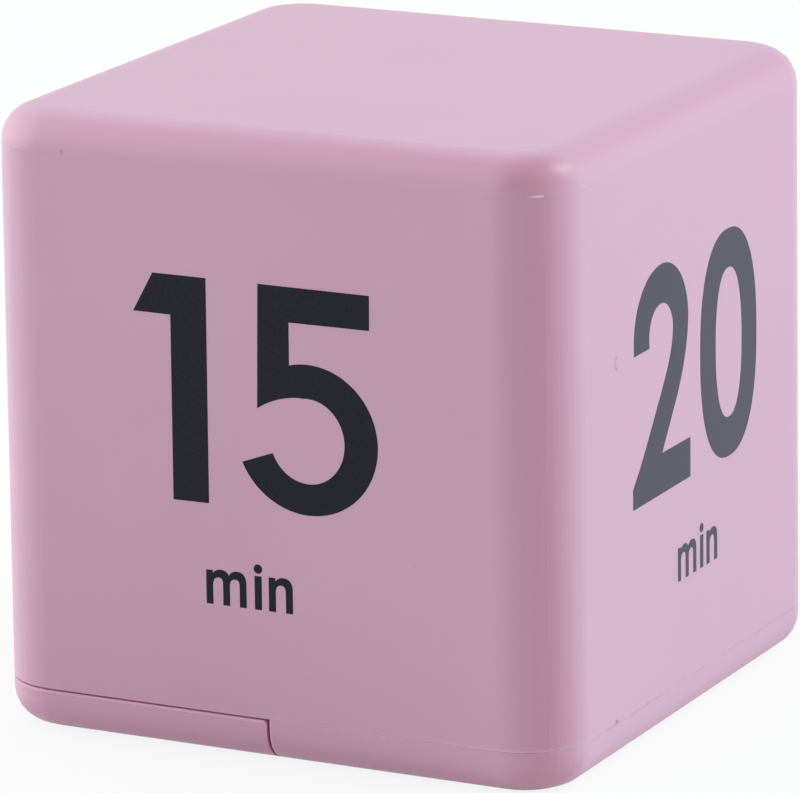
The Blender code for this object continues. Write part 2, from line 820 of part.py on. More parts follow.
def base_cover(parts, tools):
    """The bottom moulding with everything that it carries."""
    cover = cover_tray(parts, tools)
    join(cover, cover_lip(tools))
    cut(cover, cover_door_space(tools))
    join(cover, *cover_well(tools), *cover_supports(tools))
    pilots = rods(
        "boss_pilots",
        BOSS_PLACES,
        BOARD_SCREW_RADIUS + FIT,
        BOARD_TOP - BOARD_SCREW_LENGTH - CLEARANCE,
        BOARD_LOW,
        tools,
        SMALL_SIDES,
    )
    tongue_half = TONGUE_WIDTH / 2 + FIT
    tongue_slots = boxes(
        "tongue_slots",
        [
            (
                (WELL_RIGHT - WELL_WALL - OVERRUN, y - tongue_half, FLOOR),
                (FOOT_RIGHT + OVERRUN, y + tongue_half, TONGUE_TOP + FIT),
            )
            for y in both_sides(TONGUE_Y)
        ],
        tools,
    )
    cut(cover, *well_cuts(tools), pilots, tongue_slots, *floor_cuts(tools))
    return finish(cover, "cover_pink", PINK, 0.42)


# Battery door


def door_end_outline():
    """What lies beyond the door's end, in x and z: the end is upright and rounds over at its top."""
    outline = [
        (DOOR_END, -OVERRUN),
        (HALF + OVERRUN, -OVERRUN),
        (HALF + OVERRUN, DOOR_TOP + OVERRUN),
        (DOOR_END - DOOR_CORNER, DOOR_TOP + OVERRUN),
    ]
    for step in range(PLATE_STEPS + 1):
        turn = math.pi / 2 * (1 - step / PLATE_STEPS)
        outline.append(
            (DOOR_END - DOOR_CORNER * (1 - math.cos(turn)), DOOR_TOP - DOOR_CORNER * (1 - math.sin(turn)))
        )
    return outline


def battery_door(parts, tools):
    """A tray for the left half of the bottom, with ribs for the rails and the cells, two tongues and a grip."""
    door = rounded_block(
        "battery_door",
        (-HALF, -HALF, 0),
        (HALF, HALF, DOOR_TOP),
        CORNER_RADIUS,
        parts,
        low_round=BOTTOM_RADIUS,
    )
    hollow = rounded_block(
        "door_hollow",
        (-INNER, -INNER, FLOOR),
        (INNER, INNER, DOOR_TOP + OVERRUN),
        CORNER_RADIUS - WALL,
        tools,
        low_round=DOOR_INNER_ROUND,
    )
    cover_side = prism("door_cover_side", door_end_outline(), -HALF - OVERRUN, HALF + OVERRUN, tools)
    rib_in = RAIL_OUT - RAIL_DEPTH + FIT
    ribs = boxes(
        "door_ribs",
        [
            ((RAIL_START, low, RAIL_TOP + FIT), (-RAIL_END, high, DOOR_TOP - FIT))
            for low, high in ((-INNER - BITE, -rib_in), (rib_in, INNER + BITE))
        ],
        tools,
    )
    tongue_half = TONGUE_WIDTH / 2
    tongue_ys = both_sides(TONGUE_Y)
    tongues = boxes(
        "door_tongues",
        [
            ((-TONGUE_REACH, y - tongue_half, FLOOR_SEAT), (TONGUE_REACH, y + tongue_half, TONGUE_TOP))
            for y in tongue_ys
        ],
        tools,
    )
    roots = boxes(
        "tongue_roots",
        [
            (
                (-TONGUE_REACH + BITE / 2, y - tongue_half + BITE / 2, FLOOR - BITE),
                (2 * DOOR_END, y + tongue_half - BITE / 2, FLOOR_SEAT + BITE),
            )
            for y in tongue_ys
        ],
        tools,
    )
    latches = boxes(
        "latch_bumps",
        [
            (
                (TONGUE_REACH - 2 * LATCH_LENGTH, y - tongue_half / 2, TONGUE_TOP - BITE),
                (TONGUE_REACH - LATCH_LENGTH, y + tongue_half / 2, TONGUE_TOP + LATCH_HEIGHT),
            )
            for y in tongue_ys
        ],
        tools,
    )
    rests = boxes(
        "cell_rests",
        [
            (
                (RAIL_START, y - REST_THICK / 2, FLOOR - BITE),
                (-RAIL_END, y + REST_THICK / 2, CELL_FLOOR - FIT),
            )
            for y in (-REST_Y, 0, REST_Y)
        ],
        tools,
    )
    cut(door, hollow, cover_side)
    join(door, ribs, tongues, roots, latches, rests)
    grip_x = -HALF + GRIP_INSET
    grip = rounded_block(
        "door_grip",
        (grip_x - GRIP_WIDTH / 2, -GRIP_LENGTH / 2, -OVERRUN),
        (grip_x + GRIP_WIDTH / 2, GRIP_LENGTH / 2, GRIP_DEPTH),
        GRIP_WIDTH / 2 - HAIR,
        tools,
    )
    cut(door, grip)
    bar_half = GRIP_LENGTH / 2 - GRIP_WIDTH / 2
    first_bar = grip_x - GRIP_PITCH * (GRIP_BARS - 1) / 2
    bars = boxes(
        "grip_bars",
        [
            (
                (first_bar + GRIP_PITCH * bar - GRIP_BAR / 2, -bar_half, GRIP_SINK),
                (first_bar + GRIP_PITCH * bar + GRIP_BAR / 2, bar_half, GRIP_DEPTH + BITE),
            )
            for bar in range(GRIP_BARS)
        ],
        tools,
    )
    join(door, bars)
    set_origin(door, (-HALF, 0, 0))
    return finish(door, "door_pink", PINK, 0.42)


# Batteries and contacts


def battery_cell(name, x, heading, parts):
    """A cell that lies along Y with its positive end towards heading, which is 1 or -1."""
    tip = CELL_LENGTH / 2
    shoulder = tip - NUB_HEIGHT
    profile = [
        (0, tip),
        (NUB_RADIUS, tip),
        (NUB_RADIUS, shoulder),
        (CELL_RADIUS - CELL_ROUND, shoulder),
        (CELL_RADIUS, shoulder - CELL_ROUND),
        (CELL_RADIUS, CELL_ROUND - tip),
        (CELL_RADIUS - CELL_ROUND, -tip),
        (0, -tip),
    ]
    cell = turned(name, profile, (x, heading * (CELL_TIP + CELL_TAIL) / 2, CELL_Z), parts)
    cell.rotation_euler = (math.radians(-90 * heading), 0, 0)
    return finish(cell, name + "_sleeve", (0.10, 0.16, 0.30), 0.35, 0.3)


def contact_plate(name, left, right, heading, parts):
    """A nickel plate in the well's end pocket, from cell centre left to cell centre right."""
    reach = PLATE_REACH
    outer = PLATE_FACE + PLATE_THICK
    low, high = sorted((heading * PLATE_FACE, heading * outer))
    corner = PLATE_CORNER
    outline = []
    for x, z, start in (
        (right + reach - corner, CELL_Z + reach - corner, 0),
        (left - reach + corner, CELL_Z + reach - corner, 90),
        (left - reach + corner, CELL_Z - reach + corner, 180),
        (right + reach - corner, CELL_Z - reach + corner, 270),
    ):
        for step in range(PLATE_STEPS + 1):
            angle = math.radians(start + 90 * step / PLATE_STEPS)
            outline.append((x + corner * math.cos(angle), z + corner * math.sin(angle)))
    return prism(name, outline, low, high, parts)


def dimple(name, x, heading, tools):
    """A raised dimple that meets a cell's positive nub."""
    bm = bmesh.new()
    add_rod(
        bm,
        (x, heading * (PLATE_FACE + BITE), CELL_Z),
        (x, heading * (PLATE_FACE - DIMPLE_HEIGHT), CELL_Z),
        DIMPLE_RADIUS,
        SMALL_SIDES,
        DIMPLE_RADIUS / 2,
    )
    return make_object(name, bm, tools)


def solder_tab(name, x, tools):
    """A tab on top of a contact, through the well's roof."""
    low = (x - TAB_WIDTH / 2, PLATE_FACE, CELL_Z + PLATE_REACH - BITE)
    high = (x + TAB_WIDTH / 2, PLATE_FACE + PLATE_THICK, VAULT_TOP + TAB_RISE)
    return box(name, low, high, tools)


def contacts(parts, tools):
    """The contact of each lead at the back end, and the bridge at the front end."""
    positive = contact_plate("contact_positive", CELL_RIGHT_X, CELL_RIGHT_X, 1, parts)
    join(positive, dimple("positive_dimple", CELL_RIGHT_X, 1, tools))
    join(positive, solder_tab("positive_tab", CELL_RIGHT_X, tools))
    negative = contact_plate("contact_negative", CELL_LEFT_X, CELL_LEFT_X, 1, parts)
    join(negative, solder_tab("negative_tab", CELL_LEFT_X, tools))
    bridge = contact_plate("contact_bridge", CELL_LEFT_X, CELL_RIGHT_X, -1, parts)
    join(bridge, dimple("bridge_dimple", CELL_LEFT_X, -1, tools))
    for plate in (positive, negative, bridge):
        finish(plate, plate.name + "_nickel", NICKEL, 0.30, 1.0)


def least_coil_gap(points, wire):
    """The least distance between the surfaces of turns that aren't next to each other on the wire."""
    least = math.inf
    for first, point in enumerate(points):
        for other in points[first + SPRING_POINTS // 2 :]:
            least = min(least, (point - other).length - 2 * wire)
    return least


def contact_spring(name, x, heading, parts):
    """A conical spring from its plate, at the well's end on the heading side, to the cell's flat end."""
    base = PLATE_FACE - FIT - SPRING_WIRE
    tip = -CELL_TAIL + FIT + SPRING_WIRE
    count = SPRING_TURNS * SPRING_POINTS
    points = []
    for step in range(count + 1):
        share = step / count
        angle = 2 * math.pi * SPRING_TURNS * share
        radius = SPRING_BASE_RADIUS * (1 - (1 - SPRING_TIP_SHARE) * share)
        y = heading * (base + (tip - base) * share)
        points.append(Vector((x + radius * math.cos(angle), y, CELL_Z + radius * math.sin(angle))))
    print(f"{name}: least gap between turns {least_coil_gap(points, SPRING_WIRE):.6f} m")
    return tube(name, points, SPRING_WIRE, 1, parts, name + "_steel", NICKEL, 0.25, 1.0)


def tube(name, points, radius, resolution, parts, finish_name, colour, roughness, metallic=0.0):
    """A wire or lead: a polyline with a round bevel and closed ends."""
    curve = bpy.data.curves.new(name, "CURVE")
    curve.dimensions = "3D"
    curve.bevel_depth = radius
    curve.bevel_resolution = resolution
    curve.use_fill_caps = True
    spline = curve.splines.new("POLY")
    spline.points.add(len(points) - 1)
    for target, point in zip(spline.points, points):
        target.co = (*point, 1)
    obj = bpy.data.objects.new(name, curve)
    parts.objects.link(obj)
    return finish(obj, finish_name, colour, roughness, metallic)


def batteries(parts, tools):
    battery_cell("battery_cell_right", CELL_RIGHT_X, 1, parts)
    battery_cell("battery_cell_left", CELL_LEFT_X, -1, parts)
    contacts(parts, tools)
    contact_spring("spring_bridge", CELL_RIGHT_X, -1, parts)
    contact_spring("spring_negative", CELL_LEFT_X, 1, parts)


# Screws


def pan_head_profile(radius, head_radius, head_height, length):
    """A screw with its head at the top: the head's underside is at z = 0."""
    rounding = head_height / 2
    return [
        (0, head_height),
        (head_radius - rounding, head_height),
        (head_radius, head_height - rounding),
        (head_radius, 0),
        (radius, 0),
        (radius, radius - length),
        (0, -length),
    ]


def case_screws(parts):
    """Two screws between the cells, heads down, into the shell's posts."""
    profile = pan_head_profile(SCREW_RADIUS, SCREW_HEAD_RADIUS, SCREW_HEAD_HEIGHT, SCREW_LENGTH)
    for side, y in zip(("front", "back"), both_sides(POST_Y)):
        place = (CELL_MID_X, y, HEAD_SEAT - FIT)
        screw = turned(f"case_screw_{side}", profile, place, parts, SMALL_SIDES)
        screw.rotation_euler = (math.radians(180), 0, 0)
        finish(screw, screw.name + "_steel", (0.30, 0.30, 0.31), 0.35, 1.0)


def board_screws(parts):
    """Four screws through the board into the cover's bosses."""
    profile = pan_head_profile(
        BOARD_SCREW_RADIUS, BOARD_SCREW_HEAD_RADIUS, BOARD_SCREW_HEAD_HEIGHT, BOARD_SCREW_LENGTH
    )
    corners = ("front_left", "back_left", "front_right", "back_right")
    for corner, place in zip(corners, BOSS_PLACES):
        screw = turned(f"board_screw_{corner}", profile, (*place, BOARD_SEAT), parts, SMALL_SIDES)
        finish(screw, screw.name + "_steel", (0.55, 0.55, 0.56), 0.35, 1.0)


# Circuit board


def main_board(parts, tools):
    """The circuit board, with its screw holes."""
    board = rounded_block(
        "main_board",
        (BOARD_LEFT, -BOARD_HALF, BOARD_LOW),
        (BOARD_RIGHT, BOARD_HALF, BOARD_TOP),
        BOARD_CORNER,
        parts,
    )
    holes = rods(
        "board_holes",
        BOSS_PLACES,
        BOARD_SCREW_RADIUS + FIT,
        BOARD_LOW - OVERRUN,
        BOARD_TOP + OVERRUN,
        tools,
        SMALL_SIDES,
    )
    cut(board, holes)
    return finish(board, "board_green", (0.03, 0.16, 0.07), 0.45)


def board_parts(parts):
    """The chip under its blob, the crystal, the capacitor and the row of chip resistors."""
    # They stand in rows in front of the tilt switches
    first_row = TILT_Y - TILT_END - CLEARANCE
    chip_y = first_row - CHIP_RADIUS
    inner_ring = CHIP_RADIUS / 2
    blob = turned(
        "chip_blob",
        [
            (0, CHIP_HEIGHT),
            (inner_ring, CHIP_HEIGHT * math.sqrt(3) / 2),
            (CHIP_RADIUS * math.sqrt(3) / 2, CHIP_HEIGHT / 2),
            (CHIP_RADIUS, 0),
            (0, 0),
        ],
        (BOARD_LEFT + CHIP_INSET, chip_y, BOARD_SEAT),
        parts,
    )
    finish(blob, "chip_resin", BLACK, 0.35)
    capacitor = turned(
        "smoothing_capacitor",
        [
            (0, CAPACITOR_HEIGHT),
            (CAPACITOR_RADIUS - FIT, CAPACITOR_HEIGHT),
            (CAPACITOR_RADIUS, CAPACITOR_HEIGHT - FIT),
            (CAPACITOR_RADIUS, 0),
            (0, 0),
        ],
        (BOARD_RIGHT - CAPACITOR_INSET, first_row - CAPACITOR_RADIUS, BOARD_SEAT),
        parts,
    )
    finish(capacitor, "capacitor_sleeve", (0.02, 0.03, 0.10), 0.40)
    bm = bmesh.new()
    crystal_x = BOARD_RIGHT - CRYSTAL_INSET
    crystal_y = first_row - 2 * CAPACITOR_RADIUS - CLEARANCE - CRYSTAL_RADIUS
    crystal_z = BOARD_SEAT + CRYSTAL_RADIUS
    add_rod(
        bm,
        (crystal_x - CRYSTAL_LENGTH / 2, crystal_y, crystal_z),
        (crystal_x + CRYSTAL_LENGTH / 2, crystal_y, crystal_z),
        CRYSTAL_RADIUS,
        SMALL_SIDES,
    )
    finish(make_object("crystal_can", bm, parts), "crystal_steel", NICKEL, 0.30, 1.0)
    first = BOARD_MID - RESISTOR_PITCH * (RESISTORS - 1) / 2
    half_size = (RESISTOR_LENGTH / 2, RESISTOR_WIDTH / 2)
    for number in range(RESISTORS):
        place = (first + RESISTOR_PITCH * number, -BOSS_Y)
        name = f"chip_resistor_{number + 1}"
        chip = centred_box(name, place, half_size, BOARD_SEAT, BOARD_SEAT + RESISTOR_HEIGHT, parts)
        finish(chip, name + "_black", BLACK, 0.50)


# Display


def display(parts, tools):
    """The lens in the cover's floor, the glass behind it, its holder and two contact strips."""
    centre = (DISPLAY_X, DISPLAY_Y)
    lens_half = (GLASS_HALF_WIDTH + LENS_MARGIN, GLASS_HALF_LENGTH + LENS_MARGIN)
    lens = flat_prism(
        "display_lens", centre, lens_half, LENS_CORNER - FIT, LENS_SINK, LENS_SINK + LENS_THICK, parts
    )
    finish(lens, "lens_clear", (0.75, 0.78, 0.78), 0.08)

    ledge = GLASS_HALF_WIDTH - GLASS_LEDGE
    glass_mid = FLOOR_SEAT + GLASS_THICK
    glass_top = glass_mid + GLASS_THICK
    glass_half = (GLASS_HALF_WIDTH, GLASS_HALF_LENGTH)
    panel = centred_box("lcd_panel", centre, glass_half, FLOOR_SEAT, glass_mid, parts)
    rear_half = (ledge, GLASS_HALF_LENGTH - FIT)
    join(panel, centred_box("lcd_rear_glass", centre, rear_half, glass_mid - BITE, glass_top, tools))
    finish(panel, "lcd_glass", (0.42, 0.46, 0.40), 0.12)

    holder_top = BOARD_LOW - FIT
    inside = (GLASS_HALF_WIDTH + FIT, GLASS_HALF_LENGTH + FIT)
    outside = (inside[0] + HOLDER_WALL, inside[1] + HOLDER_WALL)
    holder = centred_box("lcd_holder", centre, outside, FLOOR_SEAT, holder_top, parts)
    cut(holder, centred_box("holder_opening", centre, inside, FLOOR, holder_top + OVERRUN, tools))
    bar_half = (HOLDER_WALL / 2, inside[1] + BITE)
    bar_top = holder_top - HOLDER_WALL / 2
    for name, side in (("left", -1), ("right", 1)):
        bar_centre = (DISPLAY_X + side * (ledge - HOLDER_WALL / 2), DISPLAY_Y)
        join(holder, centred_box(f"holder_bar_{name}", bar_centre, bar_half, glass_top + FIT, bar_top, tools))
        strip_centre = (DISPLAY_X + side * (ledge + FIT + ZEBRA_WIDTH / 2), DISPLAY_Y)
        strip_half = (ZEBRA_WIDTH / 2, GLASS_HALF_LENGTH - CLEARANCE)
        strip = centred_box(f"zebra_strip_{name}", strip_centre, strip_half, glass_mid + FIT, holder_top, parts)
        finish(strip, strip.name + "_rubber", (0.55, 0.25, 0.35), 0.60)
    finish(holder, "holder_black", BLACK, 0.55)


# Slide switch


def switch_case(parts, tools):
    """The switch's metal case under the board, with the hollow that its slider moves in."""
    centre = (SWITCH_X, SWITCH_Y)
    case_half = (SWITCH_CASE_WIDTH / 2, SWITCH_CASE_LENGTH / 2)
    case = centred_box("switch_case", centre, case_half, SWITCH_CASE_LOW, SWITCH_CASE_TOP, parts)
    hollow_half = (SLIDER_WIDTH / 2 + FIT, (SLIDER_LENGTH + SWITCH_TRAVEL) / 2 + FIT)
    hollow_low = SWITCH_CASE_LOW + SWITCH_SKIN
    hollow_top = SLIDER_LOW + SLIDER_HEIGHT + FIT
    mouth_half = (STEM_WIDTH / 2 + FIT, (STEM_LENGTH + SWITCH_TRAVEL) / 2 + FIT)
    cut(case, centred_box("switch_hollow", centre, hollow_half, hollow_low, hollow_top, tools))
    cut(case, centred_box("switch_mouth", centre, mouth_half, KNOB_TOP, SLIDER_LOW, tools))
    return finish(case, "switch_case_steel", NICKEL, 0.35, 1.0)


def switch_lever(parts, tools):
    """The slider inside the case, with the stem that the knob sits on."""
    centre = (SWITCH_X, SWITCH_REST_Y)
    slider_half = (SLIDER_WIDTH / 2, SLIDER_LENGTH / 2)
    lever = centred_box("switch_lever", centre, slider_half, SLIDER_LOW, SLIDER_LOW + SLIDER_HEIGHT, parts)
    stem_half = (STEM_WIDTH / 2, STEM_LENGTH / 2)
    join(lever, centred_box("lever_stem", centre, stem_half, SOCKET_LOW + FIT, SLIDER_LOW + BITE, tools))
    set_origin(lever, (SWITCH_X, SWITCH_REST_Y, SLIDER_LOW))
    return finish(lever, "lever_black", BLACK, 0.50)


def switch_knob(parts, tools):
    """The sliding knob: a plate inside the floor, a socket for the stem and a grooved tab below."""
    centre = (SWITCH_X, SWITCH_REST_Y)
    tab_half = (KNOB_WIDTH / 2, KNOB_LENGTH / 2)
    plate_half = (tab_half[0] + KNOB_FLANGE, tab_half[1] + SWITCH_TRAVEL + KNOB_FLANGE)
    socket_half = (STEM_WIDTH / 2 + FIT, STEM_LENGTH / 2 + FIT)
    knob = centred_box("switch_knob", centre, plate_half, FLOOR_SEAT, KNOB_SEAT, parts)
    join(knob, centred_box("knob_tab", centre, tab_half, KNOB_SINK, KNOB_TOP, tools))
    cut(knob, centred_box("knob_socket", centre, socket_half, SOCKET_LOW, KNOB_TOP + OVERRUN, tools))
    pitch = KNOB_LENGTH / (KNOB_GROOVES + 1)
    groove_half = (tab_half[0] + OVERRUN, KNOB_GROOVE / 2)
    groove_top = KNOB_SINK + KNOB_GROOVE
    for number in range(KNOB_GROOVES):
        place = (SWITCH_X, SWITCH_REST_Y - tab_half[1] + pitch * (number + 1))
        cut(knob, centred_box(f"knob_groove_{number + 1}", place, groove_half, 0, groove_top, tools))
    set_origin(knob, (SWITCH_X, SWITCH_REST_Y, KNOB_SINK))
    return finish(knob, "knob_white", WHITE, 0.45)


# Light and sounder


def indicator_led(parts, tools):
    """A round light that looks out through the cover's floor, hung from the board by its legs."""
    dome = LED_SINK + LED_RADIUS
    flange_low = LED_SINK + LED_BODY
    flange_top = flange_low + LED_FLANGE_HEIGHT
    slope = LED_RADIUS * math.sqrt(0.5)
    profile = [
        (0, flange_top),
        (LED_FLANGE_RADIUS, flange_top),
        (LED_FLANGE_RADIUS, flange_low),
        (LED_RADIUS, flange_low),
        (LED_RADIUS, dome),
        (slope, dome - slope),
        (0, LED_SINK),
    ]
    led = turned("indicator_led", profile, (SWITCH_X, LED_Y, 0), parts, SMALL_SIDES)
    for name, offset in zip(("left", "right"), both_sides(LED_LEG_SPACING / 2)):
        foot = (SWITCH_X + offset, LED_Y)
        leg_half = (LED_LEG / 2, LED_LEG / 2)
        join(led, centred_box(f"led_leg_{name}", foot, leg_half, flange_top - BITE, BOARD_LOW - FIT, tools))
    return finish(led, "led_red", (0.55, 0.02, 0.02), 0.15)


def sounder(parts):
    """The piezo disc on its ring, and the ceramic layer on it."""
    place = [(BOARD_MID, PIEZO_Y)]
    low = FLOOR + PIEZO_RING_HEIGHT + FIT
    plate = rods("piezo_plate", place, PIEZO_RADIUS, low, low + PIEZO_THICK, parts)
    finish(plate, "piezo_brass", (0.75, 0.55, 0.22), 0.30, 1.0)
    ceramic_low = low + PIEZO_THICK + FIT
    ceramic = rods("piezo_ceramic", place, CERAMIC_RADIUS, ceramic_low, ceramic_low + PIEZO_THICK, parts)
    finish(ceramic, "piezo_silver", (0.70, 0.70, 0.68), 0.50)


# Tilt switches


def tilt_switch(direction, turn, parts, tools):
    """One ball tilt switch, its axis pointing out from the middle of the cross at an angle of turn."""
    outward = Vector((math.cos(turn), math.sin(turn), 0))
    sideways = Vector((-math.sin(turn), math.cos(turn), 0))
    centre = Vector((BOARD_MID, TILT_Y, TILT_Z))

    def on_axis(distance):
        return centre + outward * distance

    bm = bmesh.new()
    add_rod(bm, on_axis(TILT_START + TILT_FLANGE + FIT), on_axis(TILT_END), TILT_RADIUS, ROD_SIDES)
    can = make_object(f"tilt_can_{direction}", bm, parts)
    bm = bmesh.new()
    add_rod(bm, on_axis(TILT_START), on_axis(TILT_END - TILT_FLANGE), TILT_BORE, ROD_SIDES)
    cut(can, make_object(f"tilt_bore_{direction}", bm, tools))
    finish(can, f"tilt_can_{direction}_steel", NICKEL, 0.25, 1.0)

    bm = bmesh.new()
    add_rod(bm, on_axis(TILT_START), on_axis(TILT_START + TILT_FLANGE), TILT_RADIUS, ROD_SIDES)
    plug = make_object(f"tilt_plug_{direction}", bm, parts)
    bm = bmesh.new()
    core_end = TILT_START + TILT_FLANGE + TILT_PLUG
    add_rod(bm, on_axis(TILT_START + BITE), on_axis(core_end), TILT_BORE - FIT, ROD_SIDES)
    join(plug, make_object(f"tilt_core_{direction}", bm, tools))
    half_pin = TILT_PIN / 2
    pins = []
    for offset in both_sides(TILT_PIN_SPACING / 2):
        foot = on_axis(TILT_START + BITE) + sideways * offset
        pins.append(
            (
                (foot.x - half_pin, foot.y - half_pin, BOARD_SEAT - FIT / 2),
                (foot.x + half_pin, foot.y + half_pin, TILT_Z),
            )
        )
    join(plug, boxes(f"tilt_pins_{direction}", pins, tools))
    finish(plug, f"tilt_plug_{direction}_black", BLACK, 0.50)

    bm = bmesh.new()
    bmesh.ops.create_uvsphere(bm, u_segments=14, v_segments=9, radius=BALL_RADIUS)
    ball = make_object(f"tilt_ball_{direction}", bm, parts)
    ball.location = on_axis(BALL_REST)
    finish(ball, f"tilt_ball_{direction}_steel", NICKEL, 0.10, 1.0)


# Leads


def bowed_lead(name, start, end, start_pull, end_pull, radius, colour, parts):
    """A lead on one smooth curve: it leaves start along start_pull and meets end along end_pull."""
    start = Vector(start)
    end = Vector(end)
    leave = start + Vector((0, 0, start_pull))
    arrive = end + Vector((0, 0, end_pull))
    points = []
    for step in range(LEAD_STEPS + 1):
        t = step / LEAD_STEPS
        points.append(
            start * (1 - t) ** 3 + leave * 3 * t * (1 - t) ** 2 + arrive * 3 * t**2 * (1 - t) + end * t**3
        )
    return tube(name, points, radius, 2, parts, name + "_sleeve", colour, 0.50)


def leads(parts):
    """Leads from the battery contacts to the board, and from the sounder to the board."""
    tab_top = VAULT_TOP + TAB_RISE
    lead_y = PLATE_FACE + PLATE_THICK / 2
    board_x = BOARD_LEFT + LEAD_INSET
    # Both ends rise first, so that the lead clears the well's roof
    bow = (tab_top - BOARD_SEAT) * LEAD_BOW_SHARE
    for name, x, inset, colour in (
        ("lead_positive", CELL_RIGHT_X, LEAD_POSITIVE_INSET, RED),
        ("lead_negative", CELL_LEFT_X, LEAD_NEGATIVE_INSET, BLACK),
    ):
        start = (x, lead_y, tab_top + FIT)
        end = (board_x, BOSS_Y - inset, BOARD_SEAT)
        bowed_lead(name, start, end, bow, bow, LEAD_RADIUS, colour, parts)

    plate_top = FLOOR + PIEZO_RING_HEIGHT + FIT + PIEZO_THICK
    ceramic_top = plate_top + FIT + PIEZO_THICK
    rim = (PIEZO_RADIUS + CERAMIC_RADIUS) / 2
    for name, x, low, colour in (
        ("lead_piezo_plate", BOARD_MID + rim, plate_top, BLACK),
        ("lead_piezo_ceramic", BOARD_MID, ceramic_top, RED),
    ):
        start = (x, PIEZO_Y, low + FIT)
        end = (x + SOUND_LEAD_STEP, PIEZO_Y, BOARD_LOW - FIT)
        pull = (BOARD_LOW - low) / 2
        bowed_lead(name, start, end, pull, -pull, SOUND_LEAD_RADIUS, colour, parts)


def build():
    clear_scene()
    parts = new_collection("cube_timer")
    tools = new_collection("cutters")
    tools.hide_render = True
    main_shell(parts, tools)
    base_cover(parts, tools)
    battery_door(parts, tools)
    batteries(parts, tools)
    case_screws(parts)
    main_board(parts, tools)
    board_screws(parts)
    board_parts(parts)
    display(parts, tools)
    switch_case(parts, tools)
    switch_lever(parts, tools)
    switch_knob(parts, tools)
    indicator_led(parts, tools)
    sounder(parts)
    for quarter, direction in enumerate(("right", "back", "left", "front")):
        tilt_switch(direction, quarter * math.pi / 2, parts, tools)
    leads(parts)


build()
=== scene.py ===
"""Looks of the cube timer: satin pink shell with printed minutes, on a pale studio floor."""
import math

import bpy
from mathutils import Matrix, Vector


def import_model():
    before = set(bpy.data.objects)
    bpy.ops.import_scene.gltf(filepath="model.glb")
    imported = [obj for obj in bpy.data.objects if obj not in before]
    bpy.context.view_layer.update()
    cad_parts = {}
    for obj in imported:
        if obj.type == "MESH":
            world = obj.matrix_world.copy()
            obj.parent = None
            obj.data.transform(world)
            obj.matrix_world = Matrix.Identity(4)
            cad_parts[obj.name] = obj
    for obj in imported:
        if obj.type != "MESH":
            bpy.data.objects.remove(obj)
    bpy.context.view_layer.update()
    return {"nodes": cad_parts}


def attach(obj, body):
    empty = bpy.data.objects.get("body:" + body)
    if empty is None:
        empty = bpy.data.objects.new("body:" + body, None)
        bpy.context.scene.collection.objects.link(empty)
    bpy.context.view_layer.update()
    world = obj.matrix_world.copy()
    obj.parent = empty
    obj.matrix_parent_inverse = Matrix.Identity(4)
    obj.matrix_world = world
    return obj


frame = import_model()

MM = 0.001
SIDE = 64 * MM
HALF = SIDE / 2
CORNER = 6.9 * MM  # radius of the upright edges
TOP_ROUND = 3.7 * MM  # radius round the top
JOINT_HEIGHT = 4.75 * MM  # where the shell meets the bottom
DRAFT = 0.2 * MM  # how far each wall leans in from the joint to the top
INK_PROUD = 0.015 * MM
INK_SINK = 0.05 * MM
TENS_SHIFT = -7.3  # millimetres from the middle of a face to the middle of its 3 or 6

# Painted shade and highlight: the plastic's tint shifts where the surface rounds, deeper where less haze is
# reflected; the shares run over these parts of the unit normal
TURNED = (0.76, 0.98)  # the largest part, from fully rounded to flat
UPRIGHT = (0.15, 0.55)  # the part along z, from an upright edge to a level one
CORNERED = (0.12, 0.42)  # the least part, from an edge to a corner
LEFT_FADE = (-31 * MM, -22 * MM)  # x from the painted highlight on the left edges to the rest

# Dark specks: centre, radius and half width of the soft edge in millimetres, and share of the tint
SPECKS = (
    ((32.0, -18.76, 4.86), 0.22, 0.10, 0.8),
    ((32.0, -18.45, 4.80), 0.13, 0.08, 0.7),
    ((-22.06, -31.82, 60.51), 0.13, 0.08, 0.7),
    ((16.44, -31.94, 22.58), 0.14, 0.09, 0.3),
)

JOIN_WITHIN = 0.0005 * MM
SHARP_FROM = math.radians(31)

LAMP_DISTANCE = 1.6
FLOOR_HALF = 8.0
FLOOR_DROP = 0.02 * MM
FLOOR_WHITE = 0.86  # share of plain white in what the camera sees of the floor
WORLD_FILL = 0.31

# Linear colours
PINK = (0.540, 0.301, 0.418)
PINK_PALE = (0.554, 0.313, 0.432)  # patches of haze
PAINTED_SHADE_TURN = (0.570, 0.288, 0.400)  # painted shade: roundings deeper and redder, where less haze is reflected
# painted shade: the corners deeper and redder
PAINTED_SHADE_CORNER = (0.548, 0.252, 0.348)
PAINTED_SHADE_UPRIGHT = (0.560, 0.266, 0.369)  # painted shade on the upright edges
PAINTED_HIGHLIGHT_LEFT = (0.600, 0.376, 0.486)  # painted highlight on the upright edges on the left
PAINTED_LIGHT_SEAM = (0.90, 0.50, 0.64)  # painted light: the walls of the door's level seam lit pale red
PAINTED_LIGHT_DEEP = (0.66, 0.20, 0.29)  # painted light: the walls of its upright seam lit deep red
PAINTED_HIGHLIGHT_EDGE = (0.755, 0.465, 0.605)  # painted highlights on the lips beside the seams
RUBBED = (0.47, 0.20, 0.31)
# painted highlight on the burr where the mould lines meet
BURR_HIGHLIGHT = (0.95, 0.82, 0.88)
# dark specks, and the painted shadow under the joint
DARK_MARK_AND_SHADOW = (0.30, 0.12, 0.18)
INK = (0.001, 0.001, 0.007)
INK_PALE = (0.008, 0.008, 0.018)
WHITE_LIGHT = (1, 1, 1)
COOL_LIGHT = (0.80, 1.0, 0.98)


# Materials


def new_material(name):
    """A new node material, its tree and its principled shader."""
    material = bpy.data.materials.new(name)
    material.use_nodes = True
    tree = material.node_tree
    shader = tree.nodes["Principled BSDF"]
    return material, tree, shader


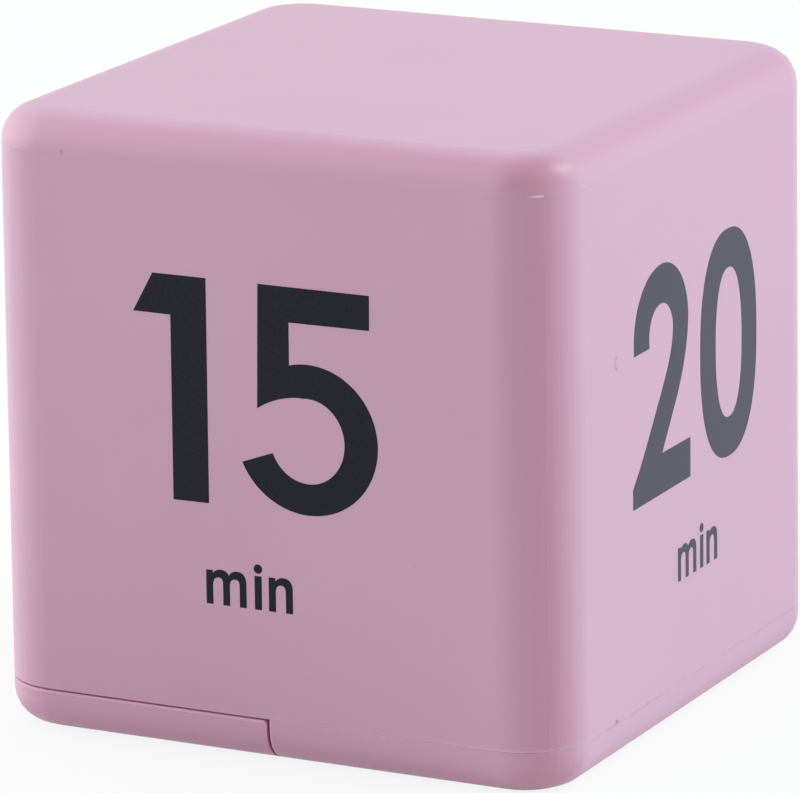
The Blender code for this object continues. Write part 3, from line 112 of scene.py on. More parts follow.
def add(tree, kind, **values):
    """A node with its properties and, by name, its input values."""
    node = tree.nodes.new(kind)
    for key, value in values.items():
        if key in node.inputs:
            node.inputs[key].default_value = value
        else:
            setattr(node, key, value)
    return node


def set_inputs(node, values):
    """Plain values on a node's own sockets."""
    for name, value in values.items():
        node.inputs[name].default_value = value


def noise(tree, scale, detail=3.0, roughness=0.5, stretch=None):
    """Noise over the piece's own coordinates, with the scale in waves per metre."""
    place = add(tree, "ShaderNodeTexCoord")
    texture = add(tree, "ShaderNodeTexNoise", Scale=scale, Detail=detail, Roughness=roughness)
    if stretch:
        mapping = add(tree, "ShaderNodeMapping", Scale=stretch)
        tree.links.new(place.outputs["Object"], mapping.inputs["Vector"])
        tree.links.new(mapping.outputs["Vector"], texture.inputs["Vector"])
    else:
        tree.links.new(place.outputs["Object"], texture.inputs["Vector"])
    return texture.outputs["Fac"]


def spread(tree, source, low, high, from_low=0.3, from_high=0.7):
    """The source taken from its usual range to another one."""
    node = add(tree, "ShaderNodeMapRange")
    set_inputs(node, {"From Min": from_low, "From Max": from_high, "To Min": low, "To Max": high})
    tree.links.new(source, node.inputs["Value"])
    return node.outputs["Result"]


def two_colours(tree, source, first, second, from_low=0.3, from_high=0.7):
    """A blend of two colours that follows the source."""
    ramp = add(tree, "ShaderNodeValToRGB")
    ramp.color_ramp.elements[0].position = from_low
    ramp.color_ramp.elements[0].color = (*first, 1)
    ramp.color_ramp.elements[1].position = from_high
    ramp.color_ramp.elements[1].color = (*second, 1)
    tree.links.new(source, ramp.inputs["Fac"])
    return ramp.outputs["Color"]


def bump(tree, height, distance, strength=1.0, under=None):
    """A bump whose height is in metres, laid over an earlier normal."""
    node = add(tree, "ShaderNodeBump", Strength=strength, Distance=distance)
    tree.links.new(height, node.inputs["Height"])
    if under:
        tree.links.new(under, node.inputs["Normal"])
    return node.outputs["Normal"]


def surface(name, dark, light, roughness, grain, depth,
            metallic=0.0, stretch=None, coat=0.0, rough_spread=0.04):
    """A plain moulded, painted or metal surface: grain in colour, gloss and height."""
    material, tree, shader = new_material(name)
    wide = noise(tree, grain / 12, 2.0)
    fine = noise(tree, grain, 4.0, 0.6, stretch)
    tree.links.new(two_colours(tree, wide, dark, light), shader.inputs["Base Color"])
    gloss = spread(tree, fine, roughness - rough_spread, roughness + rough_spread)
    tree.links.new(gloss, shader.inputs["Roughness"])
    tree.links.new(bump(tree, fine, depth), shader.inputs["Normal"])
    set_inputs(shader, {"Metallic": metallic, "Coat Weight": coat})
    return material


def maths(tree, operation, first, second=None):
    """One step of arithmetic on node outputs or plain numbers."""
    node = add(tree, "ShaderNodeMath", operation=operation)
    for socket, value in zip(node.inputs, (first, second)):
        if value is None:
            continue
        if isinstance(value, (int, float)):
            socket.default_value = value
        else:
            tree.links.new(value, socket)
    return node.outputs["Value"]


def times(tree, first, *others):
    """The product of node outputs and plain numbers."""
    for other in others:
        first = maths(tree, "MULTIPLY", first, other)
    return first


def ridge(tree, distance, reach):
    """One at a line and zero beyond its reach to each side, from the distance to it."""
    near = maths(tree, "DIVIDE", maths(tree, "ABSOLUTE", distance), reach)
    return maths(tree, "SUBTRACT", 1.0, maths(tree, "MINIMUM", near, 1.0))


def level_line(tree, z, height, reach):
    """A ridge along a level line at a height."""
    return ridge(tree, maths(tree, "SUBTRACT", z, height), reach)


def between(tree, value, low, high):
    """One where the value lies between two numbers, and zero elsewhere."""
    return times(tree, maths(tree, "GREATER_THAN", value, low), maths(tree, "LESS_THAN", value, high))


def spot(tree, place, centre, radius, soft):
    """One within a radius of a point, given in millimetres, fading over soft to each side."""
    apart = add(tree, "ShaderNodeVectorMath", operation="DISTANCE")
    tree.links.new(place, apart.inputs[0])
    apart.inputs[1].default_value = tuple(c * MM for c in centre)
    return spread(tree, apart.outputs["Value"], 1.0, 0.0, (radius - soft) * MM, (radius + soft) * MM)


def overlay(tree, share, under, over):
    """A colour with another laid over it by a share."""
    node = add(tree, "ShaderNodeMix", data_type="RGBA")
    tree.links.new(share, node.inputs[0])
    for socket, colour in ((node.inputs[6], under), (node.inputs[7], over)):
        if isinstance(colour, tuple):
            socket.default_value = (*colour, 1)
        else:
            tree.links.new(colour, socket)
    return node.outputs[2]


def turning(tree, place):
    """The shares of the painted shade and highlight on an edge's rounding, an upright edge's and a corner's, all
    zero on the flat sides.
    """
    parts = add(tree, "ShaderNodeSeparateXYZ")
    tree.links.new(place.outputs["Normal"], parts.inputs["Vector"])
    sizes = [maths(tree, "ABSOLUTE", part) for part in parts.outputs]
    largest = maths(tree, "MAXIMUM", maths(tree, "MAXIMUM", sizes[0], sizes[1]), sizes[2])
    edge = spread(tree, largest, 1.0, 0.0, *TURNED)
    upright = times(tree, edge, spread(tree, sizes[2], 1.0, 0.0, *UPRIGHT))
    least = maths(tree, "MINIMUM", maths(tree, "MINIMUM", sizes[0], sizes[1]), sizes[2])
    return edge, upright, spread(tree, least, 0.0, 1.0, *CORNERED)


def boxed(tree, x, z, x_range, z_range):
    """One in a rectangle of the front view, given in millimetres, at any depth."""
    return times(tree, between(tree, x, x_range[0] * MM, x_range[1] * MM),
                 between(tree, z, z_range[0] * MM, z_range[1] * MM))


def edge_lines(tree, x, y, z):
    """The shares of the painted highlights on the light edges beside the seams and of the ragged painted shadow
    under the joint.
    """
    gap_height, lip_height, under_height = 4.735 * MM, 4.86 * MM, 4.58 * MM
    on_right = maths(tree, "GREATER_THAN", x, 0.16 * MM)
    from_front = spread(tree, x, 0.0, 1.0, 15 * MM, 25 * MM)
    past_corner = times(tree, spread(tree, y, 0.0, 1.0, -31 * MM, -24 * MM),
                        spread(tree, x, 0.0, 1.0, 28 * MM, 31 * MM))
    # painted highlights along the joint line and on the lips beside it
    gap = times(tree, level_line(tree, z, gap_height, 0.11 * MM), on_right)
    lip = times(tree, level_line(tree, z, lip_height, 0.20 * MM), on_right)
    lip = times(tree, lip, times(tree, from_front, spread(tree, past_corner, 0.35, 0.0, 0.0, 1.0)))
    door_lip = times(tree, boxed(tree, x, z, (-40, -0.14), (4.30, 4.54)), 0.38)
    upright_lip = times(tree, boxed(tree, x, z, (0.14, 0.34), (-1, 4.73)), 0.30)
    light = maths(tree, "MAXIMUM", maths(tree, "MAXIMUM", gap, lip), maths(tree, "MAXIMUM", door_lip, upright_lip))
    # painted shadow under the joint, ragged past the corner
    wander = noise(tree, 240.0, 3.0, 0.6, (1, 1, 0.1))
    ragged = times(tree, past_corner, spread(tree, wander, 0.02, 0.40, 0.36, 0.72))
    ragged = maths(tree, "ADD", ragged, times(tree, from_front, 0.08))
    return light, times(tree, level_line(tree, z, under_height, 0.20 * MM), on_right, ragged)


def crescent(tree, point, y):
    """A faint half ring pressed into the right side."""
    centre, outer, inner, soft = (31.9, -17.9, 41.3), 0.70, 0.46, 0.08
    ring = maths(tree, "SUBTRACT", spot(tree, point, centre, outer, soft), spot(tree, point, centre, inner, soft))
    return times(tree, ring, maths(tree, "LESS_THAN", y, -17.8 * MM))


def burr(tree, x, y, z):
    """The share of a painted highlight on a short burr where the mould lines meet on the front right corner."""
    along = times(tree, spread(tree, x, 0.0, 0.65, 28.4 * MM, 29.3 * MM), maths(tree, "LESS_THAN", x, 29.75 * MM))
    line = times(tree, level_line(tree, z, 60.37 * MM, 0.14 * MM), maths(tree, "LESS_THAN", y, 0.0))
    return times(tree, along, line)


def plastic_colour(tree, place, parts, moon):
    """Hazy pink with painted shade and highlight, deeper or paler at the roundings, painted light in the seams,
    painted highlights on the lips, a painted shadow under the joint, and the marks in their own tints.
    """
    x, y, z = parts
    haze = noise(tree, 38.0, 2.0)
    from_left = spread(tree, x, 0.0, 1.0, *LEFT_FADE)
    at_left = spread(tree, x, 1.0, 0.0, *LEFT_FADE)
    edge_share, upright_share, corner_share = turning(tree, place)
    light, dark = edge_lines(tree, x, y, z)
    # painted light on the walls of the level and upright seams
    door_seam_light = boxed(tree, x, z, (-40, 0.15), (4.52, 4.76))
    upright_seam_light = times(tree, boxed(tree, x, z, (-0.155, 0.155), (-1, 4.70)), 0.8)
    colour = two_colours(tree, haze, PINK, PINK_PALE)
    # painted shade on the roundings, upright edges and corners, a painted highlight on the left upright edges,
    # painted light in the seams, painted highlights on the lips, the painted shadow under the joint, the ring, and
    # the painted highlight on the burr
    for share, tint in (
            (times(tree, edge_share, from_left), PAINTED_SHADE_TURN),
            (times(tree, upright_share, from_left), PAINTED_SHADE_UPRIGHT),
            (times(tree, upright_share, at_left), PAINTED_HIGHLIGHT_LEFT),
            (times(tree, corner_share, spread(tree, from_left, 0.3, 1.0, 0.0, 1.0)), PAINTED_SHADE_CORNER),
            (door_seam_light, PAINTED_LIGHT_SEAM), (upright_seam_light, PAINTED_LIGHT_DEEP), (light, PAINTED_HIGHLIGHT_EDGE), (dark, DARK_MARK_AND_SHADOW),
            (moon, RUBBED), (burr(tree, x, y, z), BURR_HIGHLIGHT)):
        colour = overlay(tree, share, colour, tint)
    for centre, radius, soft, share in SPECKS:
        speck = spot(tree, place.outputs["Object"], centre, radius, soft)
        colour = overlay(tree, times(tree, speck, share), colour, DARK_MARK_AND_SHADOW)
    return colour


def plastic_normal(tree, parts, grain, moon):
    """Softened mould edges, slow waves and grain, the mould's parting lines and the drawn upright edges."""
    x, y, z = parts
    wide, deep = maths(tree, "ABSOLUTE", x), maths(tree, "ABSOLUTE", y)
    waves = noise(tree, 95.0, 2.0)
    drawn = noise(tree, 2600.0, 2.0, 0.6, (1, 1, 0.015))
    top_line = SIDE - TOP_ROUND
    across = maths(tree, "SUBTRACT", wide, deep)
    corner = times(tree, maths(tree, "GREATER_THAN", wide, HALF - CORNER),
                   maths(tree, "GREATER_THAN", deep, HALF - CORNER))
    below = maths(tree, "LESS_THAN", z, top_line)
    upright = times(tree, ridge(tree, across, 0.20 * MM), corner, below)
    around = times(tree, maths(tree, "GREATER_THAN", wide, 22.9 * MM), maths(tree, "GREATER_THAN", deep, 23.3 * MM))
    level = times(tree, level_line(tree, z, top_line, 0.16 * MM), around)
    scored = times(tree, corner, below, spread(tree, across, 0.0, 1.0, 0.1 * MM, 1.2 * MM))

    near_seam = maths(tree, "MAXIMUM", boxed(tree, x, z, (-40, 0.6), (4.1, 4.56)),
                      boxed(tree, x, z, (-0.6, 0.6), (-1, 4.8)))
    soft_edge = add(tree, "ShaderNodeBevel", samples=6)
    tree.links.new(spread(tree, near_seam, 0.10 * MM, 0.26 * MM, 0.0, 1.0), soft_edge.inputs["Radius"])
    normal = bump(tree, waves, 0.020 * MM, 0.5, soft_edge.outputs["Normal"])
    for height, depth in ((grain, 0.0012), (upright, 0.010), (level, 0.020),
                          (times(tree, drawn, scored), 0.030), (moon, -0.012)):
        normal = bump(tree, height, depth * MM, 1.0, normal)
    return normal


def pink_plastic():
    """Satin moulded plastic: haze, spark texture, the mould's parting lines, a few marks, and painted shade and
    highlights at the roundings and seams.
    """
    material, tree, shader = new_material("pink_plastic")
    place = add(tree, "ShaderNodeTexCoord")
    split = add(tree, "ShaderNodeSeparateXYZ")
    tree.links.new(place.outputs["Object"], split.inputs["Vector"])
    parts = tuple(split.outputs)
    grain = noise(tree, 5200.0, 2.0, 0.5)
    moon = crescent(tree, place.outputs["Object"], parts[1])
    tree.links.new(plastic_colour(tree, place, parts, moon), shader.inputs["Base Color"])
    tree.links.new(spread(tree, grain, 0.39, 0.45), shader.inputs["Roughness"])
    tree.links.new(plastic_normal(tree, parts, grain, moon), shader.inputs["Normal"])
    set_inputs(shader, {"IOR": 1.5})
    return material


def ink_paint():
    """Screen-printed ink: dark blue grey, faintly speckled, with a haze at low angles."""
    material, tree, shader = new_material("printed_ink")
    specks = noise(tree, 2600.0, 4.0, 0.7)
    tree.links.new(two_colours(tree, specks, INK, INK_PALE, 0.45, 0.75), shader.inputs["Base Color"])
    tree.links.new(spread(tree, specks, 0.42, 0.52), shader.inputs["Roughness"])
    tree.links.new(bump(tree, specks, 0.002 * MM), shader.inputs["Normal"])
    set_inputs(shader, {
        "Specular IOR Level": 0.1,
        "Sheen Weight": 0.6, "Sheen Roughness": 0.4, "Sheen Tint": (0.72, 0.66, 1.0, 1),
        "Coat Weight": 1.0, "Coat IOR": 1.15, "Coat Roughness": 0.35})
    return material


def sleeve():
    """A cell's plain printed sleeve: dark blue foil with fine grain under a thin clear coat."""
    material, tree, shader = new_material("cell_sleeve")
    grain = noise(tree, 900.0, 3.0)
    colour = two_colours(tree, grain, (0.030, 0.055, 0.115), (0.040, 0.070, 0.140))
    tree.links.new(colour, shader.inputs["Base Color"])
    tree.links.new(spread(tree, grain, 0.24, 0.32), shader.inputs["Roughness"])
    tree.links.new(bump(tree, grain, 0.004 * MM), shader.inputs["Normal"])
    set_inputs(shader, {"Coat Weight": 0.4})
    return material


def clear_plastic(name, tint, roughness):
    """A clear moulding, faintly tinted, with a polished face."""
    material, tree, shader = new_material(name)
    waves = noise(tree, 160.0, 2.0)
    brighter = tuple(min(1.0, c * 1.03) for c in tint)
    tree.links.new(two_colours(tree, waves, tint, brighter), shader.inputs["Base Color"])
    tree.links.new(bump(tree, waves, 0.01 * MM, 0.4), shader.inputs["Normal"])
    set_inputs(shader, {"Transmission Weight": 1.0, "Roughness": roughness, "IOR": 1.49})
    return material


def circuit_board():
    """Green solder resist over a faint grid of tracks and a fine glass weave."""
    material, tree, shader = new_material("circuit_board")
    place = add(tree, "ShaderNodeTexCoord")
    bricks = add(tree, "ShaderNodeTexBrick", Scale=420.0)
    set_inputs(bricks, {"Mortar Size": 0.06})
    tree.links.new(place.outputs["Object"], bricks.inputs["Vector"])
    colour = two_colours(tree, bricks.outputs["Fac"], (0.018, 0.110, 0.045), (0.030, 0.170, 0.070), 0.0, 1.0)
    tree.links.new(colour, shader.inputs["Base Color"])
    weave = noise(tree, 2400.0, 2.0)
    tree.links.new(bump(tree, weave, 0.004 * MM), shader.inputs["Normal"])
    tree.links.new(spread(tree, weave, 0.28, 0.40), shader.inputs["Roughness"])
    set_inputs(shader, {"Coat Weight": 0.3})
    return material


NICKEL = surface("nickel_plate", (0.56, 0.55, 0.52), (0.64, 0.63, 0.60), 0.26, 2200.0, 0.002 * MM, 1.0, (1, 1, 0.2))
STEEL = surface("screw_steel", (0.42, 0.42, 0.43), (0.52, 0.52, 0.53), 0.34, 2600.0, 0.003 * MM, 1.0)
TIN = surface("tin_plate", (0.50, 0.50, 0.50), (0.60, 0.60, 0.59), 0.32, 1800.0, 0.002 * MM, 1.0, (1, 0.2, 1))
BRASS = surface("rolled_brass", (0.62, 0.42, 0.14), (0.72, 0.50, 0.19), 0.30, 2400.0, 0.002 * MM, 1.0, (0.15, 1, 1))
SILVERED = surface("silvered_ceramic", (0.62, 0.61, 0.58), (0.70, 0.69, 0.66), 0.48, 3000.0, 0.003 * MM, 0.3)
POLISHED = surface("polished_ball", (0.60, 0.60, 0.60), (0.66, 0.66, 0.66), 0.10, 3000.0, 0.0004 * MM, 1.0,
                   rough_spread=0.02)
BLACK = surface("black_moulding", (0.012, 0.012, 0.013), (0.022, 0.022, 0.023), 0.50, 3000.0, 0.003 * MM)
RESIN = surface("black_resin", (0.008, 0.008, 0.009), (0.014, 0.014, 0.015), 0.22, 700.0, 0.01 * MM)
NAVY = surface("shrink_sleeve", (0.008, 0.012, 0.045), (0.012, 0.018, 0.065), 0.30, 900.0, 0.004 * MM, coat=0.3)
WHITE = surface("white_moulding", (0.62, 0.62, 0.60), (0.70, 0.70, 0.68), 0.46, 3000.0, 0.003 * MM)
SOFT_PINK = surface("layered_rubber", (0.42, 0.16, 0.22), (0.56, 0.26, 0.33), 0.62, 9000.0, 0.004 * MM,
                    stretch=(0.02, 1, 0.02))
RED_LEAD = surface("red_insulation", (0.36, 0.010, 0.010), (0.46, 0.018, 0.018), 0.42, 2600.0, 0.003 * MM)
BLACK_LEAD = surface("black_insulation", (0.012, 0.012, 0.012), (0.020, 0.020, 0.020), 0.42, 2600.0, 0.003 * MM)
GLASS = surface("display_glass", (0.26, 0.29, 0.24), (0.30, 0.33, 0.27), 0.16, 1400.0, 0.002 * MM, coat=0.6)
PLASTIC = pink_plastic()
INK_PAINT = ink_paint()
SLEEVE = sleeve()
CLEAR = clear_plastic("clear_lens", (0.92, 0.94, 0.94), 0.04)
RED_CLEAR = clear_plastic("red_resin", (0.80, 0.05, 0.05), 0.12)
BOARD = circuit_board()

LOOKS = (
    (PLASTIC, ("main_shell", "base_cover", "battery_door")),
    (SLEEVE, ("battery_cell_",)),
    (NICKEL, ("contact_", "spring_")),
    (STEEL, ("case_screw_", "board_screw_")),
    (TIN, ("tilt_can_", "crystal_can", "switch_case")),
    (BLACK, ("tilt_plug_", "lcd_holder", "switch_lever", "chip_resistor_")),
    (POLISHED, ("tilt_ball_",)),
    (RESIN, ("chip_blob",)),
    (NAVY, ("smoothing_capacitor",)),
    (WHITE, ("switch_knob",)),
    (SOFT_PINK, ("zebra_strip_",)),
    (RED_LEAD, ("lead_positive", "lead_piezo_ceramic")),
    (BLACK_LEAD, ("lead_negative", "lead_piezo_plate")),
    (GLASS, ("lcd_panel",)),
    (CLEAR, ("display_lens",)),
    (RED_CLEAR, ("indicator_led",)),
    (BOARD, ("main_board",)),
    (BRASS, ("piezo_plate",)),
    (SILVERED, ("piezo_ceramic",)),
)


# Smooth shading of the solids


def smoothing_group():
    """A modifier that joins the faces' shared points and keeps only true edges sharp."""
    group = bpy.data.node_groups.new("smooth_by_angle", "GeometryNodeTree")
    group.interface.new_socket("Geometry", in_out="INPUT", socket_type="NodeSocketGeometry")
    group.interface.new_socket("Geometry", in_out="OUTPUT", socket_type="NodeSocketGeometry")
    start = group.nodes.new("NodeGroupInput")
    end = group.nodes.new("NodeGroupOutput")
    merge = group.nodes.new("GeometryNodeMergeByDistance")
    merge.inputs["Distance"].default_value = JOIN_WITHIN
    normals = group.nodes.new("GeometryNodeSetMeshNormal")
    normals.mode = "SHARPNESS"
    angle = group.nodes.new("GeometryNodeInputMeshEdgeAngle")
    sharp = group.nodes.new("FunctionNodeCompare")
    sharp.operation = "GREATER_THAN"
    sharp.inputs["B"].default_value = SHARP_FROM
    link = group.links.new
    link(start.outputs[0], merge.inputs["Geometry"])
    link(merge.outputs["Geometry"], normals.inputs["Mesh"])
    link(angle.outputs["Unsigned Angle"], sharp.inputs["A"])
    link(sharp.outputs["Result"], normals.inputs["Edge Sharpness"])
    link(normals.outputs["Mesh"], end.inputs[0])
    return group


def dress_nodes():
    """Gives each node of the solids its material and its smooth shading."""
    group = smoothing_group()
    for name, node in frame["nodes"].items():
        chosen = [material for material, starts in LOOKS if name.startswith(starts)]
        node.data.materials.clear()
        node.data.materials.append(chosen[0])
        modifier = node.modifiers.new("smooth_by_angle", "NODES")
        modifier.node_group = group
        weighted = node.modifiers.new("weighted_normals", "WEIGHTED_NORMAL")
        weighted.keep_sharp = True


# Printed numbers


def arc(centre, radius_u, radius_v, start, end, steps):
    """Points on an ellipse from one angle to another, in degrees."""
    points = []
    for step in range(steps + 1):
        angle = math.radians(start + (end - start) * step / steps)
        points.append((centre[0] + radius_u * math.cos(angle), centre[1] + radius_v * math.sin(angle)))
    return points


def curve(first, pull_first, pull_last, last, steps=12):
    """Points on a cubic curve after its first point."""
    points = []
    for step in range(1, steps + 1):
        t = step / steps
        shares = ((1 - t) ** 3, 3 * t * (1 - t) ** 2, 3 * t * t * (1 - t), t ** 3)
        ends = (first, pull_first, pull_last, last)
        points.append(tuple(sum(s * p[i] for s, p in zip(shares, ends)) for i in (0, 1)))
    return points


def rounded_oval(centre, radius_u, radius_v, power, steps=72):
    """A closed oval with fuller sides than an ellipse."""
    points = []
    for step in range(steps):
        angle = 2 * math.pi * step / steps
        c, s = math.cos(angle), math.sin(angle)
        points.append((centre[0] + radius_u * math.copysign(abs(c) ** (2 / power), c),
                       centre[1] + radius_v * math.copysign(abs(s) ** (2 / power), s)))
    return points


def moved(outlines, shift, lift=0):
    """The outlines moved along their face and up."""
    return [[(u + shift, v + lift) for u, v in outline] for outline in outlines]


def one():
    """The one of 15, in millimetres from the middle of its face and the table."""
    return [[(-12.05, 49.27), (-6.1, 49.27), (-6.2, 26.35), (-10.2, 26.3), (-10.13, 45.18), (-14.3, 45.2)]]


def five():
    """The five of 15."""
    outline = [(-0.61, 36.66), (-0.34, 49.27), (11.89, 49.25), (11.86, 45.75), (3.03, 45.7), (3.0, 41.3)]
    outline += arc((5.0, 34.0), 7.65, 7.65, 105, -90, 40)
    outline += arc((5.0, 34.02), 8.0, 7.69, -91, -157, 14)
    outline += [(-2.39, 31.04), (1.0, 32.28)]
    outline += arc((4.95, 33.87), 4.2, 4.33, 202, 270, 12)
    outline += arc((4.95, 33.87), 4.05, 4.33, 271, 450 + 7.5, 36)
    outline += arc((4.4, 29.3), 8.9, 8.9, 92, 124, 10)
    return [outline]


def two():
    """The two of 20."""
    outline = [(-14.02, 40.94)]
    outline += arc((-7.3, 42.2), 6.72, 6.75, 180, 90, 18)
    outline += arc((-7.3, 42.2), 6.25, 6.75, 88, 4, 18)
    outline += curve((-1.07, 42.6), (-1.08, 39.6), (-2.5, 36.5), (-4.12, 34.25))
    outline += [(-7.51, 29.63), (-0.71, 29.6), (-0.73, 25.5), (-14.48, 25.4), (-14.47, 27.5), (-12.72, 29.33),
                (-10.58, 32.0), (-7.57, 35.93)]
    outline += curve((-7.57, 35.93), (-6.2, 37.7), (-4.74, 39.9), (-4.74, 41.9))
    outline += arc((-7.57, 42.0), 2.83, 2.95, 2, 180, 24)
    outline += [(-10.39, 40.99)]
    return [outline]


def three():
    """The three of 30, in the style of the others."""
    outline = arc((-0.4, 43.2), 6.4, 5.9, 172, -48, 36)
    outline += arc((-0.4, 32.5), 7.1, 7.2, 46, -172, 40)
    outline += arc((-0.4, 32.4), 3.3, 3.6, -172, 82, 28)
    outline += [(-2.3, 36.0), (-2.3, 39.3)]
    outline += arc((-0.4, 43.0), 2.7, 2.6, -82, 172, 24)
    return moved([outline], TENS_SHIFT)


def six():
    """The six of 60, in the style of the others, with its counter."""
    outline = [(6.3, 44.3)]
    outline += arc((0.4, 42.4), 6.7, 6.8, 18, 90, 10)
    outline += curve((0.4, 49.2), (-4.6, 49.2), (-7.2, 44.5), (-7.2, 37.0), 16)
    outline += curve((-7.2, 37.0), (-7.2, 29.6), (-4.9, 25.3), (0.1, 25.3), 16)
    outline += arc((0.1, 32.9), 7.0, 7.6, -90, 90, 30)
    outline += curve((0.1, 40.5), (-1.5, 40.5), (-2.7, 39.8), (-3.5, 38.9), 8)
    outline += curve((-3.5, 38.9), (-3.5, 43.0), (-2.2, 45.8), (0.4, 45.8), 10)
    outline += curve((0.4, 45.8), (1.8, 45.8), (2.5, 45.2), (2.7, 44.0), 6)
    return moved([outline, arc((0.1, 33.0), 3.3, 4.0, 0, 355, 71)], TENS_SHIFT)


def zero():
    """The zero of 20, 30 and 60, with its counter."""
    return [rounded_oval((8.8, 37.15), 7.0, 11.9, 2.35), rounded_oval((8.83, 37.2), 3.25, 7.8, 2.3)]


def word_min(shift, lift):
    """The word min, from stems and arches, moved along its face and up."""
    m = [(-6.68, 16.0), (-6.68, 19.5), (-5.92, 19.5), (-5.92, 19.2)]
    m += curve((-5.92, 19.2), (-5.70, 19.5), (-5.40, 19.64), (-5.02, 19.64), 6)
    m += curve((-5.02, 19.64), (-4.60, 19.64), (-4.28, 19.46), (-4.13, 19.12), 6)
    m += curve((-4.13, 19.12), (-3.93, 19.46), (-3.62, 19.64), (-3.25, 19.64), 6)
    m += curve((-3.25, 19.64), (-2.50, 19.64), (-2.18, 19.22), (-2.18, 18.45), 8)
    m += [(-2.18, 16.0), (-2.94, 16.0), (-2.94, 18.20)]
    m += curve((-2.94, 18.20), (-2.94, 18.62), (-3.10, 18.80), (-3.42, 18.80), 6)
    m += curve((-3.42, 18.80), (-3.80, 18.80), (-4.04, 18.55), (-4.04, 18.10), 6)
    m += [(-4.04, 16.0), (-4.80, 16.0), (-4.80, 18.20)]
    m += curve((-4.80, 18.20), (-4.80, 18.62), (-4.96, 18.80), (-5.28, 18.80), 6)
    m += curve((-5.28, 18.80), (-5.68, 18.80), (-5.92, 18.52), (-5.92, 18.05), 6)
    m += [(-5.92, 16.0)]
    i = [(-1.25, 16.0), (-1.25, 19.47), (-0.46, 19.47), (-0.46, 16.0)]
    dot = arc((-0.85, 20.2), 0.48, 0.48, 0, 345, 23)
    n = [(0.33, 16.0), (0.33, 19.5), (1.08, 19.5), (1.08, 19.15)]
    n += curve((1.08, 19.15), (1.28, 19.44), (1.55, 19.60), (1.90, 19.60), 6)
    n += curve((1.90, 19.60), (2.68, 19.60), (3.00, 19.18), (3.00, 18.42), 8)
    n += [(3.00, 16.0), (2.22, 16.0), (2.22, 18.15)]
    n += curve((2.22, 18.15), (2.22, 18.60), (2.04, 18.80), (1.70, 18.80), 6)
    n += curve((1.70, 18.80), (1.32, 18.80), (1.11, 18.52), (1.11, 18.05), 6)
    n += [(1.11, 16.0)]
    return moved([m, i, dot, n], shift, lift)


def wall_point(side, u, v, proud):
    """A point of a print, given in millimetres, in the part's frame: the walls lean in above the joint."""
    height = v * MM
    depth = HALF - DRAFT * (height - JOINT_HEIGHT) / (SIDE - JOINT_HEIGHT) + proud
    across = u * MM
    turns = {"front": (across, -depth), "right": (depth, across),
             "back": (-across, depth), "left": (-depth, -across)}
    x, y = turns[side]
    return Vector((x, y, height))


def printed(name, side, outlines):
    """A thin piece of ink on one side of the shell, from closed outlines with their counters."""
    data = bpy.data.curves.new(name, "CURVE")
    data.dimensions = "2D"
    data.fill_mode = "BOTH"
    data.extrude = 0.5  # any thickness: the loop below sets the true face and back
    for outline in outlines:
        spline = data.splines.new("POLY")
        spline.points.add(len(outline) - 1)
        for point, (u, v) in zip(spline.points, outline):
            point.co = (u, v, 0, 1)
        spline.use_cyclic_u = True
    shape = bpy.data.objects.new(name + "_outline", data)
    bpy.context.scene.collection.objects.link(shape)
    bpy.context.view_layer.update()
    mesh = bpy.data.meshes.new_from_object(shape.evaluated_get(bpy.context.evaluated_depsgraph_get()))
    bpy.data.objects.remove(shape)
    for vertex in mesh.vertices:
        u, v, level = vertex.co
        vertex.co = wall_point(side, u, v, INK_PROUD if level > 0 else -INK_SINK)
    mesh.name = name
    mesh.materials.clear()
    mesh.materials.append(INK_PAINT)
    piece = bpy.data.objects.new(name, mesh)
    bpy.context.scene.collection.objects.link(piece)
    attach(piece, "case")


def print_faces():
    """The minutes and the word min on the four sides."""
    for side, digits, word in (
            ("front", one() + five(), word_min(0, 0)),
            ("right", two() + zero(), word_min(2.77, -0.77)),
            ("back", three() + zero(), word_min(2.4, -0.5)),
            ("left", six() + zero(), word_min(2.4, -0.5))):
        printed(f"print_{side}_digits", side, digits)
        printed(f"print_{side}_word", side, word)


# Studio


def seen_directly(tree):
    """One for rays that the camera sees straight, in a reflection or through glass, and zero for other light."""
    rays = add(tree, "ShaderNodeLightPath")
    seen = maths(tree, "MAXIMUM", rays.outputs["Is Camera Ray"], rays.outputs["Is Glossy Ray"])
    return maths(tree, "MAXIMUM", seen, rays.outputs["Is Transmission Ray"])


def floor():
    """A pale floor that the camera sees as nearly white, with the object's soft shadow."""
    material, tree, shader = new_material("studio_floor")
    paper = noise(tree, 60.0, 2.0)
    tree.links.new(two_colours(tree, paper, (0.78, 0.78, 0.78), (0.80, 0.80, 0.80)), shader.inputs["Base Color"])
    set_inputs(shader, {"Roughness": 0.9, "Specular IOR Level": 0.0})
    glow = add(tree, "ShaderNodeEmission", Strength=1.0)
    mix = add(tree, "ShaderNodeMixShader")
    tree.links.new(times(tree, seen_directly(tree), FLOOR_WHITE), mix.inputs["Fac"])
    tree.links.new(shader.outputs["BSDF"], mix.inputs[1])
    tree.links.new(glow.outputs["Emission"], mix.inputs[2])
    tree.links.new(mix.outputs["Shader"], tree.nodes["Material Output"].inputs["Surface"])
    mesh = bpy.data.meshes.new("studio_floor")
    corners = [(x * FLOOR_HALF, y * FLOOR_HALF, 0) for x, y in ((-1, -1), (1, -1), (1, 1), (-1, 1))]
    mesh.from_pydata(corners, [], [(0, 1, 2, 3)])
    mesh.materials.append(material)
    piece = bpy.data.objects.new("studio_floor", mesh)
    piece.location.z = -FLOOR_DROP
    bpy.context.scene.collection.objects.link(piece)


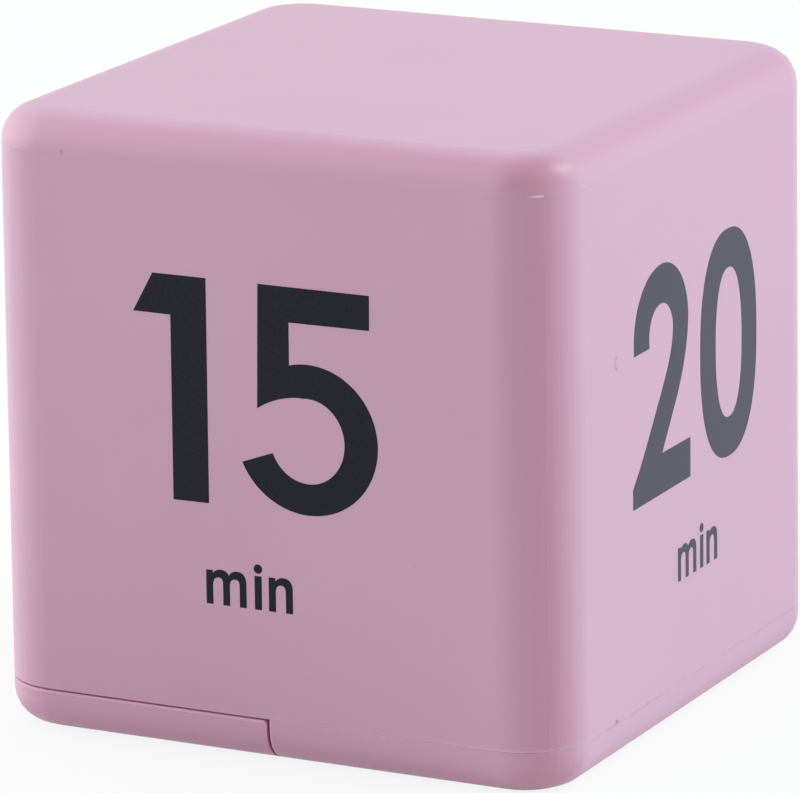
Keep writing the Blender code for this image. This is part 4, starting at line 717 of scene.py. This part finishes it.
def world():
    """A white surround for the camera and for reflections, and a weaker fill for the rest."""
    surround = bpy.data.worlds.new("studio")
    surround.use_nodes = True
    tree = surround.node_tree
    background = tree.nodes["Background"]
    strength = maths(tree, "MAXIMUM", seen_directly(tree), WORLD_FILL)
    tree.links.new(strength, background.inputs["Strength"])
    set_inputs(background, {"Color": (1, 1, 1, 1)})
    bpy.context.scene.world = surround


def lamp(name, azimuth, elevation, size, power, colour, mirrored=True):
    """A soft square lamp that faces the object, with its size in metres and its power in watts.

    Azimuth 0 is in front and 90 on the right. A lamp that isn't mirrored lights the surfaces but
    gives no image or glare in them.
    """
    data = bpy.data.lights.new(name, "AREA")
    data.shape = "SQUARE"
    data.size = size
    data.energy = power
    data.color = colour
    piece = bpy.data.objects.new(name, data)
    side, up = math.radians(azimuth), math.radians(elevation)
    away = Vector((math.sin(side) * math.cos(up), -math.cos(side) * math.cos(up), math.sin(up)))
    target = Vector((0, 0, HALF))
    piece.location = target + away * LAMP_DISTANCE
    piece.visible_glossy = mirrored
    piece.rotation_euler = away.to_track_quat("Z", "Y").to_euler()
    bpy.context.scene.collection.objects.link(piece)


def camera():
    """The photograph's view, for a frame of 800 by 793."""
    data = bpy.data.cameras.new("photo_camera")
    data.sensor_fit = "HORIZONTAL"
    data.sensor_width = 36.0
    data.lens = 293.002
    data.clip_start = 0.01
    data.clip_end = 50.0
    piece = bpy.data.objects.new("photo_camera", data)
    piece.location = (0.291825, -0.576256, 0.200938)
    piece.rotation_euler = tuple(math.radians(a) for a in (75.1934, 0.7789, 26.7372))
    bpy.context.scene.collection.objects.link(piece)
    bpy.context.scene.camera = piece


dress_nodes()
print_faces()
floor()
world()
lamp("left_lamp", -64, 22, 2.2, 30.6, WHITE_LIGHT)
lamp("left_back_lamp", -97, 30, 2.4, 15.0, COOL_LIGHT)
lamp("right_lamp", 121, 15, 1.7, 28.0, COOL_LIGHT, mirrored=False)
lamp("right_high_lamp", 124, 42, 0.5, 10.3, COOL_LIGHT)
camera()
bpy.context.scene.view_settings.view_transform = "Standard"
